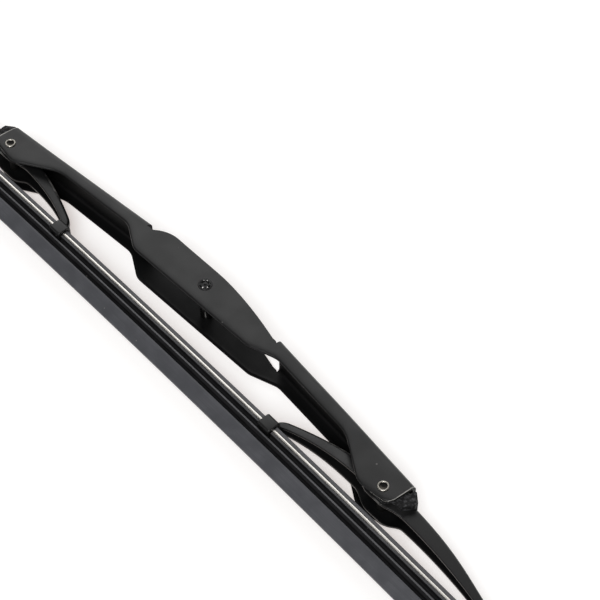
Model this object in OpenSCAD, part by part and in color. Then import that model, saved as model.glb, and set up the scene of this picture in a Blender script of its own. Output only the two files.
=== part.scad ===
// Framed windscreen wiper blade with two rocking levers, lying on its side.
// X runs along the blade, Y from the wiping lip up to the frame's spine, and Z is
// the axis of every pin. The origin is the middle of the centre pin.

/* [Bridge] */
// Outside width of the bridge channel along its arms
bridge_w = 14.4; // [13:0.1:18]
// Outside width across the cheeks, which stand out a little from the arms
cheek_w = 15.8; // [14.6:0.1:18.8]
// Sheet thickness of the bridge
bridge_t = 1.1; // [0.8:0.05:1.5]
// Outside radius of the bridge's bends
bridge_bend_r = 2; // [1.4:0.1:2.4]
// Half the length of the arm slot in the spine
slot_half = 30.5; // [26:0.1:36]
// How far the slot's middle lies to the right of the centre pin
slot_shift = 0.4; // [-2:0.1:2]
// Height of the spine above the centre pin where the slot ends
slot_spine_y = 3.6; // [2.6:0.1:4.2]
// Downward slope of the two spine arms, in degrees
arm_pitch = 5.4; // [3:0.1:7]
// Depth of the channel at the inner end of an arm
arm_depth_inner = 5.15; // [4:0.05:6.5]
// Depth of the channel just before the pivot lobe
arm_depth_outer = 4.55; // [3.4:0.05:5.5]
// Height of the cheeks above the centre pin
hump_y = 5.85; // [5:0.05:8]
// Depth of the cheeks straight below the centre pin
cheek_drop = 6.3; // [5.5:0.05:8]
// Rise of the cheeks' lower edge towards the right, in degrees
cheek_tilt = 1.9; // [0:0.1:3]
// Radius of the steep shoulder at the left end of the cheeks
shoulder_r = 12; // [10:0.5:18]
// Distance from the pivot rivet to the bottom of the lobe round it
lobe_drop = 4.2; // [3.8:0.1:5.5]
// Distance from the pivot rivet to the bridge's end
end_reach = 5.25; // [4.8:0.05:7]
// Lean of the two end cuts, which are parallel to each other, in degrees
end_lean = 6; // [-8:0.5:8]

/* [Pins] */
// Distance from the centre pin to each pivot rivet, along the blade
pivot_x = 87.5; // [80:0.5:95]
// Distance of the pivot rivets below the centre pin
pivot_drop = 8.95; // [8.5:0.05:9.6]
// Shaft diameter of the centre pin
pin_d = 4.2; // [3:0.1:5.5]
// Diameter of the centre pin's tenons in the cheeks
pin_tenon_d = 2.6; // [2:0.1:2.6]
// Diameter of the centre pin's peened heads
pin_head_d = 4.5; // [4:0.1:6]
// Height of the centre pin's peened heads
pin_head_h = 0.4; // [0.3:0.05:0.8]
// Outside diameter of the tubular pivot rivets
rivet_d = 3; // [2.6:0.1:3.4]
// Bore of the tubular pivot rivets
rivet_bore = 2.1; // [1.6:0.1:2.2]
// Diameter of the rolled rims of the pivot rivets
rivet_rim_d = 3.5; // [3.4:0.1:4.6]
// Height of the rolled rims of the pivot rivets
rivet_rim_h = 0.4; // [0.3:0.05:0.6]

/* [Levers] */
// Sheet thickness of the levers
lever_t = 0.9; // [0.6:0.05:1.1]
// Distance of the right lever's inner claw from the centre pin
inner_claw_right = 48.5; // [45:0.1:54]
// Distance of the left lever's inner claw from the centre pin
inner_claw_left = 51; // [45:0.1:54]
// Distance of the outer claws from the ends of the rubber
claw_inset = 30; // [24:0.5:40]
// Height of the lever's spine above the pivot rivet
ear_rise = 3.85; // [3.5:0.05:4]
// Depth of the lever's ears below the pivot rivet
ear_drop = 3.7; // [3.4:0.1:4.6]
// Height of the lever's lower edge below the pivot rivet, beside the ears
neck_drop = 1.5; // [0.8:0.1:2.2]
// Half width of the inner arm beside the ears
inner_neck_half = 4; // [3.2:0.1:4.2]
// Half width of the outer arm beside the ears
outer_neck_half = 3.55; // [3:0.05:4]
// Half width of the inner arm at its claw
inner_tip_half = 1.6; // [1.4:0.05:2.2]
// Half width of the outer arm at its claw
outer_tip_half = 1.45; // [1.35:0.05:2]
// Length of each claw along the blade
claw_len = 4.8; // [3.5:0.1:6]
// Wall thickness of the claws
claw_t = 0.9; // [0.7:0.05:1.1]

/* [Pivot liners] */
// Wall thickness of the liner's cheeks
liner_t = 0.9; // [0.6:0.05:0.95]
// Thickness of the liner over the lever's spine
liner_top_t = 0.5; // [0.4:0.05:0.6]
// Length of the liner inboard of the rivet
liner_reach = 7; // [5:0.1:9]
// Length of the liner's collar beyond the bridge's end
collar_len = 3.4; // [2:0.1:4]

/* [Wiping element] */
// Overall length of the rubber
rubber_len = 350; // [330:1:380]
// Distance of the steel strips below the centre pin
strip_drop = 17.2; // [16.8:0.1:18.5]
// Radius of the curve that the relaxed rubber takes
bow_r = 5850; // [4000:50:12000]
// Thickness of each steel strip
strip_t = 0.9; // [0.6:0.05:1.1]
// Width of each steel strip
strip_w = 2.25; // [1.8:0.05:2.5]
// Distance from the middle plane to the outer edge of a steel strip
strip_half = 3.1; // [2.9:0.05:3.3]
// How far each steel strip ends short of the rubber
strip_inset = 2; // [0.5:0.1:4]
// Half width of the rubber's head
head_half = 2.5; // [2.2:0.05:2.8]
// Height of the rubber's head above the strips' middle
head_rise = 1.6; // [1.2:0.05:1.8]
// Half width of the rubber between the strips and in the claw groove
web_half = 0.75; // [0.5:0.05:0.8]
// Depth of the shoulder's lower face below the strips' middle
shoulder_drop = 1.15; // [0.9:0.05:1.2]
// Depth of the ridge's upper face below the strips' middle
ridge_top = 2.5; // [2.4:0.05:3]
// Depth of the ridge's lower face below the strips' middle
ridge_low = 3.9; // [3.5:0.05:4.4]
// Half width of the ridge
ridge_half = 2.1; // [1.6:0.05:2.5]
// Half width of the hinge under the ridge
hinge_half = 0.4; // [0.3:0.05:0.6]
// Depth of the wiping body's shoulders below the strips' middle
body_top = 5.1; // [4.8:0.05:5.8]
// Half width of the wiping body at its shoulders
body_half = 1.9; // [1.2:0.05:2.4]
// Depth of the lip below the strips' middle
lip_drop = 9.95; // [8.5:0.05:11.5]
// Half thickness of the lip
lip_half = 0.35; // [0.25:0.05:0.5]

/* [Hidden] */

$fn = 72;
paint_black = [0.10, 0.10, 0.10];
moulded_black = [0.05, 0.05, 0.055];
rubber_black = [0.14, 0.14, 0.16];
bare_steel = [0.75, 0.73, 0.70];
dark_steel = [0.16, 0.16, 0.16];

// Clearances: pressed seats, running bores, the liner's sides and the claws
seat_gap = 0.03;
bore_gap = 0.1;
side_gap = 0.1;
lever_gap = 0.05;
claw_gap = 0.12;
slot_gap = 0.04;
end_gap = 0.65;
past = 1;

// Bridge outline: places that follow the driving sizes
slot_right = slot_half + slot_shift;
slot_left = slot_half - slot_shift;
flare_x = slot_half - 8;
corner_right = slot_right - 5.4;
corner_left = slot_left - 4.1;
arm_start_x = slot_half + 4.8;
lobe_start_x = pivot_x - 20.3;
lobe_in = pivot_x - 6.2;
lobe_y = -pivot_drop - lobe_drop;
lobe_rise = 1.4;
notch_y = slot_spine_y - 1.75;
notch_right_x = slot_right - 2;
hump_apex_x = 1;
shoulder_x = -19;
shoulder_y = hump_y - 0.35;
shoulder_turn = acos((shoulder_r - (shoulder_y - notch_y)) / shoulder_r);
bridge_inner_half = bridge_w / 2 - bridge_t;
cheek_inner_half = cheek_w / 2 - bridge_t;
// Half width of the lever at its ears, which fill the bridge together with the liner
ear_half = bridge_inner_half - side_gap - liner_t - lever_gap;

// Lever outline: places that follow the driving sizes
pivot_y = -pivot_drop;
outer_claw_x = rubber_len / 2 - claw_inset;
lever_top = pivot_y + ear_rise;
crest_in = pivot_x - 3;
crest_out = pivot_x + 1.5;
neck_in = pivot_x - 9.5;
neck_out = pivot_x + 7.5;
claw_roof = head_rise + claw_gap;
inner_nose_rise = 1.9;
outer_nose_rise = 0.9;
nose_len = 2.8;
lever_bend_r = 1.3;

// Height of the spine's outer face on the bridge's arms
function spine(x) = slot_spine_y - (abs(x) - slot_half) * tan(arm_pitch);
// Drop of the relaxed rubber at a distance from the middle, and its slope there
function bow(x) = bow_r - sqrt(bow_r * bow_r - x * x);
function bow_angle(x) = asin(x / bow_r);
function strip_y(x) = -strip_drop - bow(x);
function ramp(a, b, x) = let (t = min(1, max(0, (x - a) / (b - a)))) t * t * (3 - 2 * t);

function unit(v) = v / norm(v);
// Arc that rounds the corner v between its neighbours p and q
function corner(p, v, q, n) = v[2] <= 0 ? [[v.x, v.y]] :
    let (here = [v.x, v.y],
         to_p = [p.x, p.y] - here, to_q = [q.x, q.y] - here,
         a = unit(to_p), b = unit(to_q),
         half = acos(a * b) / 2,
         r = min(v[2], 0.48 * min(norm(to_p), norm(to_q)) * tan(half)),
         c = here + unit(a + b) * r / sin(half),
         s = here + a * r / tan(half) - c,
         e = here + b * r / tan(half) - c,
         from = atan2(s.y, s.x),
         raw = atan2(e.y, e.x) - from,
         turn = raw > 180 ? raw - 360 : raw < -180 ? raw + 360 : raw)
    [for (i = [0:n]) c + r * [cos(from + turn * i / n), sin(from + turn * i / n)]];
// Closed outline from [x, y, radius] corners
function rounded(pts, n = 6) = let (m = len(pts))
    [for (i = [0:m - 1]) each corner(pts[(i + m - 1) % m], pts[i], pts[(i + 1) % m], n)];

// Bridge

function cheek_right() = [for (i = [0:10])
    let (u = 1 - i / 10) [hump_apex_x + u * (notch_right_x - hump_apex_x),
                          hump_y - (hump_y - notch_y) * pow(u, 1.7), 0]];
function cheek_left() = [for (i = [0:8])
    let (a = shoulder_turn * i / 8) [shoulder_x - shoulder_r * sin(a),
                                     shoulder_y - shoulder_r * (1 - cos(a)), 0]];
// Distance outwards of the slanted end cut at height y, on the side s
function end_edge(y, s) = pivot_x + end_reach + s * (y - pivot_y) * tan(end_lean);
// Corners of the lower edge on the side s, from the cheek out to the end cut, the
// distances counted outwards
function lower_half(s) = let (corner_x = s > 0 ? corner_right : corner_left,
                              end_y = lobe_y + lobe_rise) [
    [corner_x, -cheek_drop + s * corner_x * tan(cheek_tilt), 6],
    [arm_start_x, spine(arm_start_x) - arm_depth_inner, 7],
    [lobe_start_x, spine(lobe_start_x) - arm_depth_outer, 12],
    [lobe_in, lobe_y, 7],
    [end_edge(end_y, s), end_y, 2.2]];
function flip(pts) = [for (i = [len(pts) - 1:-1:0]) [-pts[i].x, pts[i].y, pts[i][2]]];

module bridge_side() {
    above = slot_spine_y + past;
    polygon(rounded(concat(
        lower_half(1),
        [[end_edge(above, 1), above, 0], [slot_right, above, 0], [slot_right, notch_y, 0.7]],
        cheek_right(), cheek_left(),
        [[-slot_left, notch_y, 0.7], [-slot_left, above, 0], [-end_edge(above, -1), above, 0]],
        flip(lower_half(-1)))));
}

// Round-shouldered section in the plane of height and width, its top at height 0
module channel_section(half, r, depth) {
    polygon(rounded([[0, -half, r], [0, half, r], [-depth, half, 0], [-depth, -half, 0]]));
}

module arm_prism(inset) {
    start = 3;
    reach = pivot_x + 2 * end_reach - slot_half + start;
    translate([slot_half, slot_spine_y, 0]) rotate([0, 0, -arm_pitch]) rotate([90, 0, 90])
        translate([-inset, 0, -start])
            linear_extrude(reach)
                channel_section(bridge_w / 2 - inset, bridge_bend_r - inset, 40);
}

module both_arms(inset) {
    arm_prism(inset);
    mirror([1, 0, 0]) arm_prism(inset);
}

// Space between the outer faces of the two cheeks, narrower by the inset on each side
module cheeks(inset) {
    arm = bridge_w / 2 - inset;
    mid = cheek_w / 2 - inset;
    rotate([90, 0, 0]) linear_extrude(60, center = true)
        polygon([[slot_right, -arm], [slot_right, arm], [flare_x, mid], [-flare_x, mid],
                 [-slot_left, arm], [-slot_left, -arm], [-flare_x, -mid], [flare_x, -mid]]);
}

module primary_bridge() {
    color(paint_black)
    difference() {
        intersection() {
            linear_extrude(cheek_w + 2, center = true) bridge_side();
            union() { both_arms(0); cheeks(0); }
        }
        both_arms(bridge_t);
        cheeks(bridge_t);
        cylinder(d = pin_tenon_d + 2 * seat_gap, h = cheek_w + 2, center = true);
        for (s = [-1, 1]) translate([s * pivot_x, pivot_y, 0])
            cylinder(d = rivet_d + 2 * seat_gap, h = bridge_w + 2, center = true);
    }
}

// Pins

module centre_pin() {
    top = cheek_w / 2 + pin_head_h + seat_gap;
    dent_d = 0.7;
    color(dark_steel)
    difference() {
        union() {
            cylinder(d = pin_d, h = 2 * (cheek_inner_half - seat_gap), center = true);
            cylinder(d = pin_tenon_d, h = 2 * top - pin_head_h, center = true);
            for (s = [0, 1]) mirror([0, 0, s]) translate([0, 0, cheek_w / 2 + seat_gap])
                cylinder(d1 = pin_head_d, d2 = pin_head_d - 0.8, h = pin_head_h);
        }
        // Stake marks: a dimple in the middle and four dents round it
        for (s = [0, 1]) mirror([0, 0, s]) translate([0, 0, top]) {
            cylinder(d1 = 0.7, d2 = 1.3, h = 0.6, center = true);
            for (a = [0:90:270]) rotate([0, 0, a]) translate([pin_head_d * 0.27, 0, 0])
                cylinder(d1 = dent_d * 0.6, d2 = dent_d, h = 0.5, center = true);
        }
    }
}

module pivot_rivet(side) {
    wall = bridge_w / 2;
    top = wall + rivet_rim_h + seat_gap;
    lip = (rivet_rim_d - rivet_d) / 2;
    color(bare_steel)
    translate([side * pivot_x, pivot_y, 0])
        rotate_extrude()
            polygon([[rivet_bore / 2, -top + 0.15], [rivet_bore / 2 + 0.2, -top],
                     [rivet_rim_d / 2 - 0.15, -top], [rivet_rim_d / 2, -top + 0.15],
                     [rivet_rim_d / 2, -wall - seat_gap], [rivet_rim_d / 2 - lip, -wall - seat_gap],
                     [rivet_rim_d / 2 - lip, wall + seat_gap], [rivet_rim_d / 2, wall + seat_gap],
                     [rivet_rim_d / 2, top - 0.15], [rivet_rim_d / 2 - 0.15, top],
                     [rivet_bore / 2 + 0.2, top], [rivet_bore / 2, top - 0.15]]);
}

// Levers: every function takes the distance from the centre pin, counted outwards

// Height of the lever's underside where it meets the roof of a claw
function tip_y(x) = strip_y(x) + claw_roof + claw_t * 0.3;
function inner_end(claw_x) = claw_x + 0.4;
function outer_end() = outer_claw_x - 1.2;
function nose(u) = 1 - sqrt(max(0, 1 - u * u));

function lever_low(x, claw_x) =
    let (side_y = pivot_y - neck_drop,
         base = x < neck_in
             ? side_y - (side_y - tip_y(claw_x)) * pow((neck_in - x) / (neck_in - inner_end(claw_x)), 2.3)
             : x > neck_out
             ? side_y - (side_y - tip_y(outer_claw_x)) * pow((x - neck_out) / (outer_end() - neck_out), 2)
             : side_y)
    base - (ear_drop - neck_drop) * (1 - ramp(2.5, 10, abs(x - pivot_x)));

function lever_spine(x, claw_x) =
    let (in_y = tip_y(claw_x) + lever_t + 0.15,
         out_y = tip_y(outer_claw_x) + lever_t + 0.15,
         in_drop = lever_top - in_y - inner_nose_rise,
         out_drop = lever_top - out_y - outer_nose_rise)
    x < crest_in
        ? lever_top - in_drop * pow((crest_in - x) / (crest_in - inner_end(claw_x)), 1.8)
          - inner_nose_rise * nose(max(0, 1 - (x - inner_end(claw_x)) / nose_len))
        : x > crest_out
        ? lever_top - out_drop * pow((x - crest_out) / (outer_end() - crest_out), 2)
          - outer_nose_rise * nose(max(0, 1 - (outer_end() - x) / nose_len))
        : lever_top;

function lever_half(x, claw_x) =
    let (arm = x < pivot_x
             ? inner_tip_half + (inner_neck_half - inner_tip_half)
               * min(1, (x - inner_end(claw_x)) / (neck_in - inner_end(claw_x)))
             : outer_tip_half + (outer_neck_half - outer_tip_half)
               * min(1, (outer_end() - x) / (outer_end() - neck_out)))
    arm + (ear_half - arm) * (1 - ramp(4.8, 9.5, abs(x - pivot_x)));

// Ring of one channel section: outer face, then inner face, in [y, z]
function lever_ring(x, claw_x) =
    let (top = lever_spine(x, claw_x), low = lever_low(x, claw_x), w = lever_half(x, claw_x),
         wi = w - lever_t,
         r = min(lever_bend_r, 0.7 * w, 0.8 * (top - low)),
         ri = min(max(0.12, r - lever_t), 0.7 * (top - lever_t - low)),
         n = 3)
    concat(
        [[low, -w]],
        [for (i = [0:n]) [top - r + r * sin(90 * i / n), -w + r - r * cos(90 * i / n)]],
        [for (i = [n:-1:0]) [top - r + r * sin(90 * i / n), w - r + r * cos(90 * i / n)]],
        [[low, w], [low, wi]],
        [for (i = [0:n]) [top - lever_t - ri + ri * sin(90 * i / n), wi - ri + ri * cos(90 * i / n)]],
        [for (i = [n:-1:0]) [top - lever_t - ri + ri * sin(90 * i / n), -wi + ri - ri * cos(90 * i / n)]],
        [[low, -wi]]);

// Stations along a lever, closer together at the noses, necks and ears
function lever_stations(claw_x) = concat(
    [for (i = [0:5]) inner_end(claw_x) + nose_len * (1 - cos(90 * i / 5))],
    [for (i = [1:7]) inner_end(claw_x) + nose_len + (neck_in - inner_end(claw_x) - nose_len) * i / 7],
    [for (x = [pivot_x - 8:1.6:pivot_x + 8]) x],
    [for (i = [1:9]) pivot_x + 8 + (outer_end() - nose_len - pivot_x - 8) * i / 9],
    [for (i = [1:5]) outer_end() - nose_len * (1 - sin(90 * i / 5))]);

// Solid skin over k rings of m points, each ring closed across its ends by bands
// that join point i to point m - 1 - i
module skin(points, m, k) {
    last = (k - 1) * m;
    polyhedron(points, concat(
        [for (i = [0:m / 2 - 2]) [i, i + 1, m - 2 - i, m - 1 - i]],
        [for (s = [0:k - 2], i = [0:m - 1])
            let (a = s * m + i, b = s * m + (i + 1) % m, c = a + m, d = b + m)
            each [[a, d, b], [a, c, d]]],
        [for (i = [0:m / 2 - 2]) [last + m - 1 - i, last + m - 2 - i, last + i + 1, last + i]]),
        convexity = 8);
}

// Claw section across the blade: roof, side walls and the fingers in the rubber's groove
module claw(x) {
    inner = strip_half + claw_gap;
    outer = inner + claw_t;
    finger_top = -shoulder_drop - claw_gap;
    finger_low = finger_top - 0.75;
    finger_tip = web_half + 0.5;
    roof = claw_roof + claw_t;
    translate([x, strip_y(x), 0]) rotate([0, 0, -bow_angle(x)]) rotate([90, 0, 90])
        linear_extrude(claw_len, center = true)
            polygon(rounded([[finger_low, finger_tip, 0.2], [finger_low, outer, 0.7],
                             [roof, outer, 1.2], [roof, -outer, 1.2], [finger_low, -outer, 0.7],
                             [finger_low, -finger_tip, 0.2], [finger_top, -finger_tip, 0],
                             [finger_top, -inner, 0.1], [claw_roof, -inner, 0.4],
                             [claw_roof, inner, 0.4], [finger_top, inner, 0.1],
                             [finger_top, finger_tip, 0]], 4));
}

module lever_body(claw_x) {
    stations = lever_stations(claw_x);
    difference() {
        union() {
            skin([for (x = stations, p = lever_ring(x, claw_x)) [x, p[0], p[1]]],
                 len(lever_ring(claw_x, claw_x)), len(stations));
            claw(claw_x);
            claw(outer_claw_x);
        }
        translate([pivot_x, pivot_y, 0])
            cylinder(d = rivet_d + 2 * bore_gap, h = 2 * bridge_w, center = true);
    }
}

module lever_right() {
    color(paint_black) lever_body(inner_claw_right);
}

module lever_left() {
    color(paint_black) mirror([1, 0, 0]) lever_body(inner_claw_left);
}

// Pivot liners

function liner_top(x) = lever_spine(x, inner_claw_right) + lever_gap + liner_top_t;

// Outline of the liner on the side s, with distances counted outwards
module liner_side(s) {
    low = pivot_y - ear_drop + 0.5;
    inboard = pivot_x - liner_reach;
    rim_y = spine(pivot_x + end_reach) - 0.55;
    foot_y = pivot_y - 0.9;
    outboard = end_edge(rim_y, s) + end_gap + collar_len;
    saddle_y = lever_spine(outboard, inner_claw_right);
    crown_y = liner_top(pivot_x + end_reach);
    polygon(rounded([
        [inboard, pivot_y - 1.2, 1], [inboard + 3, low, 1.5], [pivot_x + 3.2, low, 2],
        [end_edge(foot_y, s) - 0.5, foot_y - 0.4, 0.5],
        [end_edge(foot_y, s) + end_gap + 1.6, foot_y, 0.6],
        [outboard, saddle_y - 0.8, 0.4], [outboard, saddle_y + 0.35, 0.3],
        [end_edge(rim_y, s) + end_gap + 0.7, rim_y, 0.3],
        [end_edge(rim_y, s) + end_gap, rim_y, 0.1],
        [end_edge(crown_y, s) + end_gap, crown_y, 0],
        [pivot_x, liner_top(pivot_x), 0], [inboard, liner_top(inboard), 0.4]], 4));
}

// Envelope of the lever round its ears, grown by the clearance, which the liner clasps
module lever_core() {
    low = pivot_y - 30;
    stations = [for (x = lever_stations(inner_claw_right)) if (x > neck_in - past) x];
    last = len(stations) - 1;
    intersection() {
        linear_extrude(2 * bridge_w, center = true)
            polygon(concat([[stations[0], low]],
                           [for (x = stations) [x, lever_spine(x, inner_claw_right) + lever_gap]],
                           [[stations[last], low]]));
        rotate([90, 0, 0]) linear_extrude(80, center = true)
            polygon(concat([for (x = stations) [x, lever_half(x, inner_claw_right) + lever_gap]],
                           [for (i = [last:-1:0]) [stations[i],
                               -lever_half(stations[i], inner_claw_right) - lever_gap]]));
    }
}

module liner_body(s) {
    half = ear_half + lever_gap + liner_t;
    difference() {
        linear_extrude(2 * half, center = true) liner_side(s);
        lever_core();
        translate([pivot_x, pivot_y, 0])
            cylinder(d = rivet_d + 2 * bore_gap, h = 2 * bridge_w, center = true);
    }
}

module pivot_liner_right() {
    color(moulded_black) liner_body(1);
}

module pivot_liner_left() {
    color(moulded_black) mirror([1, 0, 0]) liner_body(-1);
}

// Wiping element: one section, in [height, width], swept along the bow

module sweep_bow(section, length) {
    steps = 14;
    stations = [for (i = [0:steps]) length * (i / steps - 0.5)];
    skin([for (x = stations, p = section)
        let (a = bow_angle(x)) [x + p[0] * sin(a), strip_y(x) + p[0] * cos(a), p[1]]],
        len(section), steps + 1);
}

module wiping_rubber() {
    slot = strip_t / 2 + slot_gap;
    core = web_half;
    draft = 0.04;
    half = [
        [head_rise, head_half - 0.5], [head_rise - 0.15, head_half - 0.15],
        [head_rise - 0.5, head_half], [slot + draft, head_half], [slot, core],
        [-slot, core], [-slot - draft, head_half], [-shoulder_drop, head_half - 0.1],
        [-shoulder_drop - draft, core], [-ridge_top, core], [-ridge_top - 0.1, ridge_half],
        [-ridge_top - 0.5, ridge_half], [-ridge_low, ridge_half - 0.5],
        [-ridge_low - draft, hinge_half], [-body_top, hinge_half],
        [-body_top - 0.15, body_half], [-body_top - 0.6, body_half], [-lip_drop, lip_half]];
    full = concat([for (p = half) p], [for (i = [len(half) - 1:-1:0]) [half[i][0], -half[i][1]]]);
    color(rubber_black) sweep_bow(full, rubber_len);
}

module vertebra(side) {
    inner = strip_half - strip_w;
    outer = strip_half;
    ring = [[strip_t / 2, side * inner], [strip_t / 2, side * outer],
            [-strip_t / 2, side * outer], [-strip_t / 2, side * inner]];
    turned = side > 0 ? ring : [ring[3], ring[2], ring[1], ring[0]];
    color(bare_steel) sweep_bow(turned, rubber_len - 2 * strip_inset);
}

primary_bridge();
centre_pin();
lever_left();
lever_right();
pivot_rivet(-1);  // pivot_rivet_left
pivot_rivet(1);  // pivot_rivet_right
pivot_liner_left();
pivot_liner_right();
wiping_rubber();
vertebra(1);  // vertebra_near
vertebra(-1);  // vertebra_far
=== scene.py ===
"""Looks of a framed windscreen wiper blade that lies on its side on a pale floor.

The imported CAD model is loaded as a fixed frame: +X runs along the blade, +Y from the
wiping lip up to the bridge's spine, and +Z along the pins. Each class below holds one
sub-assembly, with its sizes in millimetres as fields, and builds its surfaces as numpy
grids: a function of two parameters, or a section carried along a path.
"""

import logging
import math
from collections.abc import Sequence
from dataclasses import dataclass, field
from enum import Enum

import bmesh
import bpy
import numpy as np
import numpy.typing as npt
from mathutils import Matrix, Vector


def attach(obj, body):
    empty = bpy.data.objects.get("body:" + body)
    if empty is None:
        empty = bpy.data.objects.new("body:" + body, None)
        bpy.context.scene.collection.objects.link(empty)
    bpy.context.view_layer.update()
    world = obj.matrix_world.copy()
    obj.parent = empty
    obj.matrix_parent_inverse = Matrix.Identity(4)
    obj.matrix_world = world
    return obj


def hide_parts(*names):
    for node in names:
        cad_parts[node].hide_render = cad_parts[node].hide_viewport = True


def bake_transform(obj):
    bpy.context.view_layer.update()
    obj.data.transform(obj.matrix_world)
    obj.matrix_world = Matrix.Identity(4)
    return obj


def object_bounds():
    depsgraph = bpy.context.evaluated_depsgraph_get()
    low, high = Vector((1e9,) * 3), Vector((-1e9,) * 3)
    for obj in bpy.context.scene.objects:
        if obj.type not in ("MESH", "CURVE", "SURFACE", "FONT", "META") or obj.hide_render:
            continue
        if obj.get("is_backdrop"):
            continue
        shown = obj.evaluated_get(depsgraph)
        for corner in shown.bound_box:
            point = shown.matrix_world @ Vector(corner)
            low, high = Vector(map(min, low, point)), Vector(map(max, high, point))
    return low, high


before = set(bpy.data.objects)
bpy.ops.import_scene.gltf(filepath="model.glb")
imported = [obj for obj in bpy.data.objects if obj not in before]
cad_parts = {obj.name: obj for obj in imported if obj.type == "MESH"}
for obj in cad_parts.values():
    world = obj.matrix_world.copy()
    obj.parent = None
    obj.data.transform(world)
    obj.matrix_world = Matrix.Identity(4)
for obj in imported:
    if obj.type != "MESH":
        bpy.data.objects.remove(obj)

Array = npt.NDArray[np.float64]
Inputs = dict[str | int, object]

MM = 0.001
# Mask of edge wear and painted highlights: paler cut edges, painted glints, a painted reflection
# streak on the pin's shaft and the painted lit side of the rivets' bores.
WEAR_AND_HIGHLIGHT_ATTRIBUTE = "wear_and_highlight_mask"

log = logging.getLogger("wiper_blade")


class Side(Enum):
    """An end of the blade, by the sign of its X."""

    LEFT = -1
    RIGHT = 1


class Cheek(Enum):
    """A long side of the blade, by the sign of its Z."""

    NEAR = 1
    FAR = -1


class Body(Enum):
    """A CAD body that pieces ride on."""

    FRAME = "frame"
    LEFT_LEVER = "left_lever"
    RIGHT_LEVER = "right_lever"

    @staticmethod
    def lever(side: Side) -> "Body":
        """The lever body on one side."""
        return Body.LEFT_LEVER if side is Side.LEFT else Body.RIGHT_LEVER


# ---------------------------------------------------------------------------
# Curves and surfaces
# ---------------------------------------------------------------------------


def ease(t: Array | float) -> Array:
    """Smooth step: 3t^2 - 2t^3 on t held between 0 and 1."""
    held = np.clip(t, 0.0, 1.0)
    return held * held * (3.0 - 2.0 * held)


def crowded(count: int, pull: float = 1.0) -> Array:
    """Stations from 0 to 1 that crowd towards both ends.

    The straight count is mixed with half a cosine wave, by the share pull.

    Args:
        count: Number of stations.
        pull: 0 for even stations, 1 for the full cosine.

    Returns:
        The stations, in rising order.
    """
    t = np.linspace(0.0, 1.0, count)
    return (1.0 - pull) * t + pull * (0.5 - 0.5 * np.cos(np.pi * t))


def fillet(corners: Array, arc: int, closed: bool) -> Array:
    """Rounds every corner of a polyline with an arc of its own radius.

    The arc's centre lies on the bisector, at radius / sin(half the corner's angle)
    from the corner. The radius is held so that the arc takes under half of the
    shorter neighbouring side.

    Args:
        corners: Rows of x, y and radius.
        arc: Number of steps in each arc.
        closed: Whether the last corner joins the first.

    Returns:
        Points of the rounded line. An open line keeps its two ends as they are.
    """
    here = corners[:, :2]
    before, after = np.roll(here, 1, axis=0), np.roll(here, -1, axis=0)
    if not closed:
        here, before, after = here[1:-1], before[1:-1], after[1:-1]
    radius = corners[:, 2] if closed else corners[1:-1, 2]
    to_p, to_q = before - here, after - here
    len_p, len_q = np.linalg.norm(to_p, axis=1), np.linalg.norm(to_q, axis=1)
    a, b = to_p / len_p[:, None], to_q / len_q[:, None]
    half = np.arccos(np.clip(np.sum(a * b, axis=1), -1.0, 1.0)) / 2
    r = np.minimum(radius, 0.48 * np.minimum(len_p, len_q) * np.tan(half))
    bisector = a + b
    bisector /= np.linalg.norm(bisector, axis=1)[:, None]
    centre = here + bisector * (r / np.sin(half))[:, None]
    start = here + a * (r / np.tan(half))[:, None] - centre
    end = here + b * (r / np.tan(half))[:, None] - centre
    first = np.arctan2(start[:, 1], start[:, 0])
    turn = np.arctan2(end[:, 1], end[:, 0]) - first
    turn = (turn + np.pi) % (2 * np.pi) - np.pi
    angle = first[:, None] + turn[:, None] * np.linspace(0.0, 1.0, arc + 1)
    rim = centre[:, None, :] + r[:, None, None] * np.stack(
        [np.cos(angle), np.sin(angle)], axis=-1
    )
    points = rim.reshape(-1, 2)
    if closed:
        return points
    return np.concatenate([corners[:1, :2], points, corners[-1:, :2]])


def ring_normals(ring: Array) -> Array:
    """Outward unit normals of a closed ring, from the chord between its neighbours."""
    chord = np.roll(ring, -1, axis=0) - np.roll(ring, 1, axis=0)
    chord /= np.maximum(np.linalg.norm(chord, axis=1), 1e-9)[:, None]
    x, y = ring[:, 0], ring[:, 1]
    area = np.sum(x * np.roll(y, -1) - y * np.roll(x, -1))
    return np.stack([chord[:, 1], -chord[:, 0]], axis=1) * np.sign(area)


def grid_faces(
    rows: int, cols: int, wrap_rows: bool = False, wrap_cols: bool = False
) -> npt.NDArray[np.int64]:
    """Four-sided faces over a grid of points numbered row by row.

    Args:
        rows: Number of rows.
        cols: Number of points in a row.
        wrap_rows: Whether the last row joins the first.
        wrap_cols: Whether each row closes on itself.

    Returns:
        One line of four point numbers for each face.
    """
    r = np.arange(rows if wrap_rows else rows - 1)[:, None]
    c = np.arange(cols if wrap_cols else cols - 1)[None, :]
    r_next, c_next = (r + 1) % rows, (c + 1) % cols
    corners = [r * cols + c, r * cols + c_next, r_next * cols + c_next, r_next * cols + c]
    return np.stack(corners, axis=-1).reshape(-1, 4)


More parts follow.
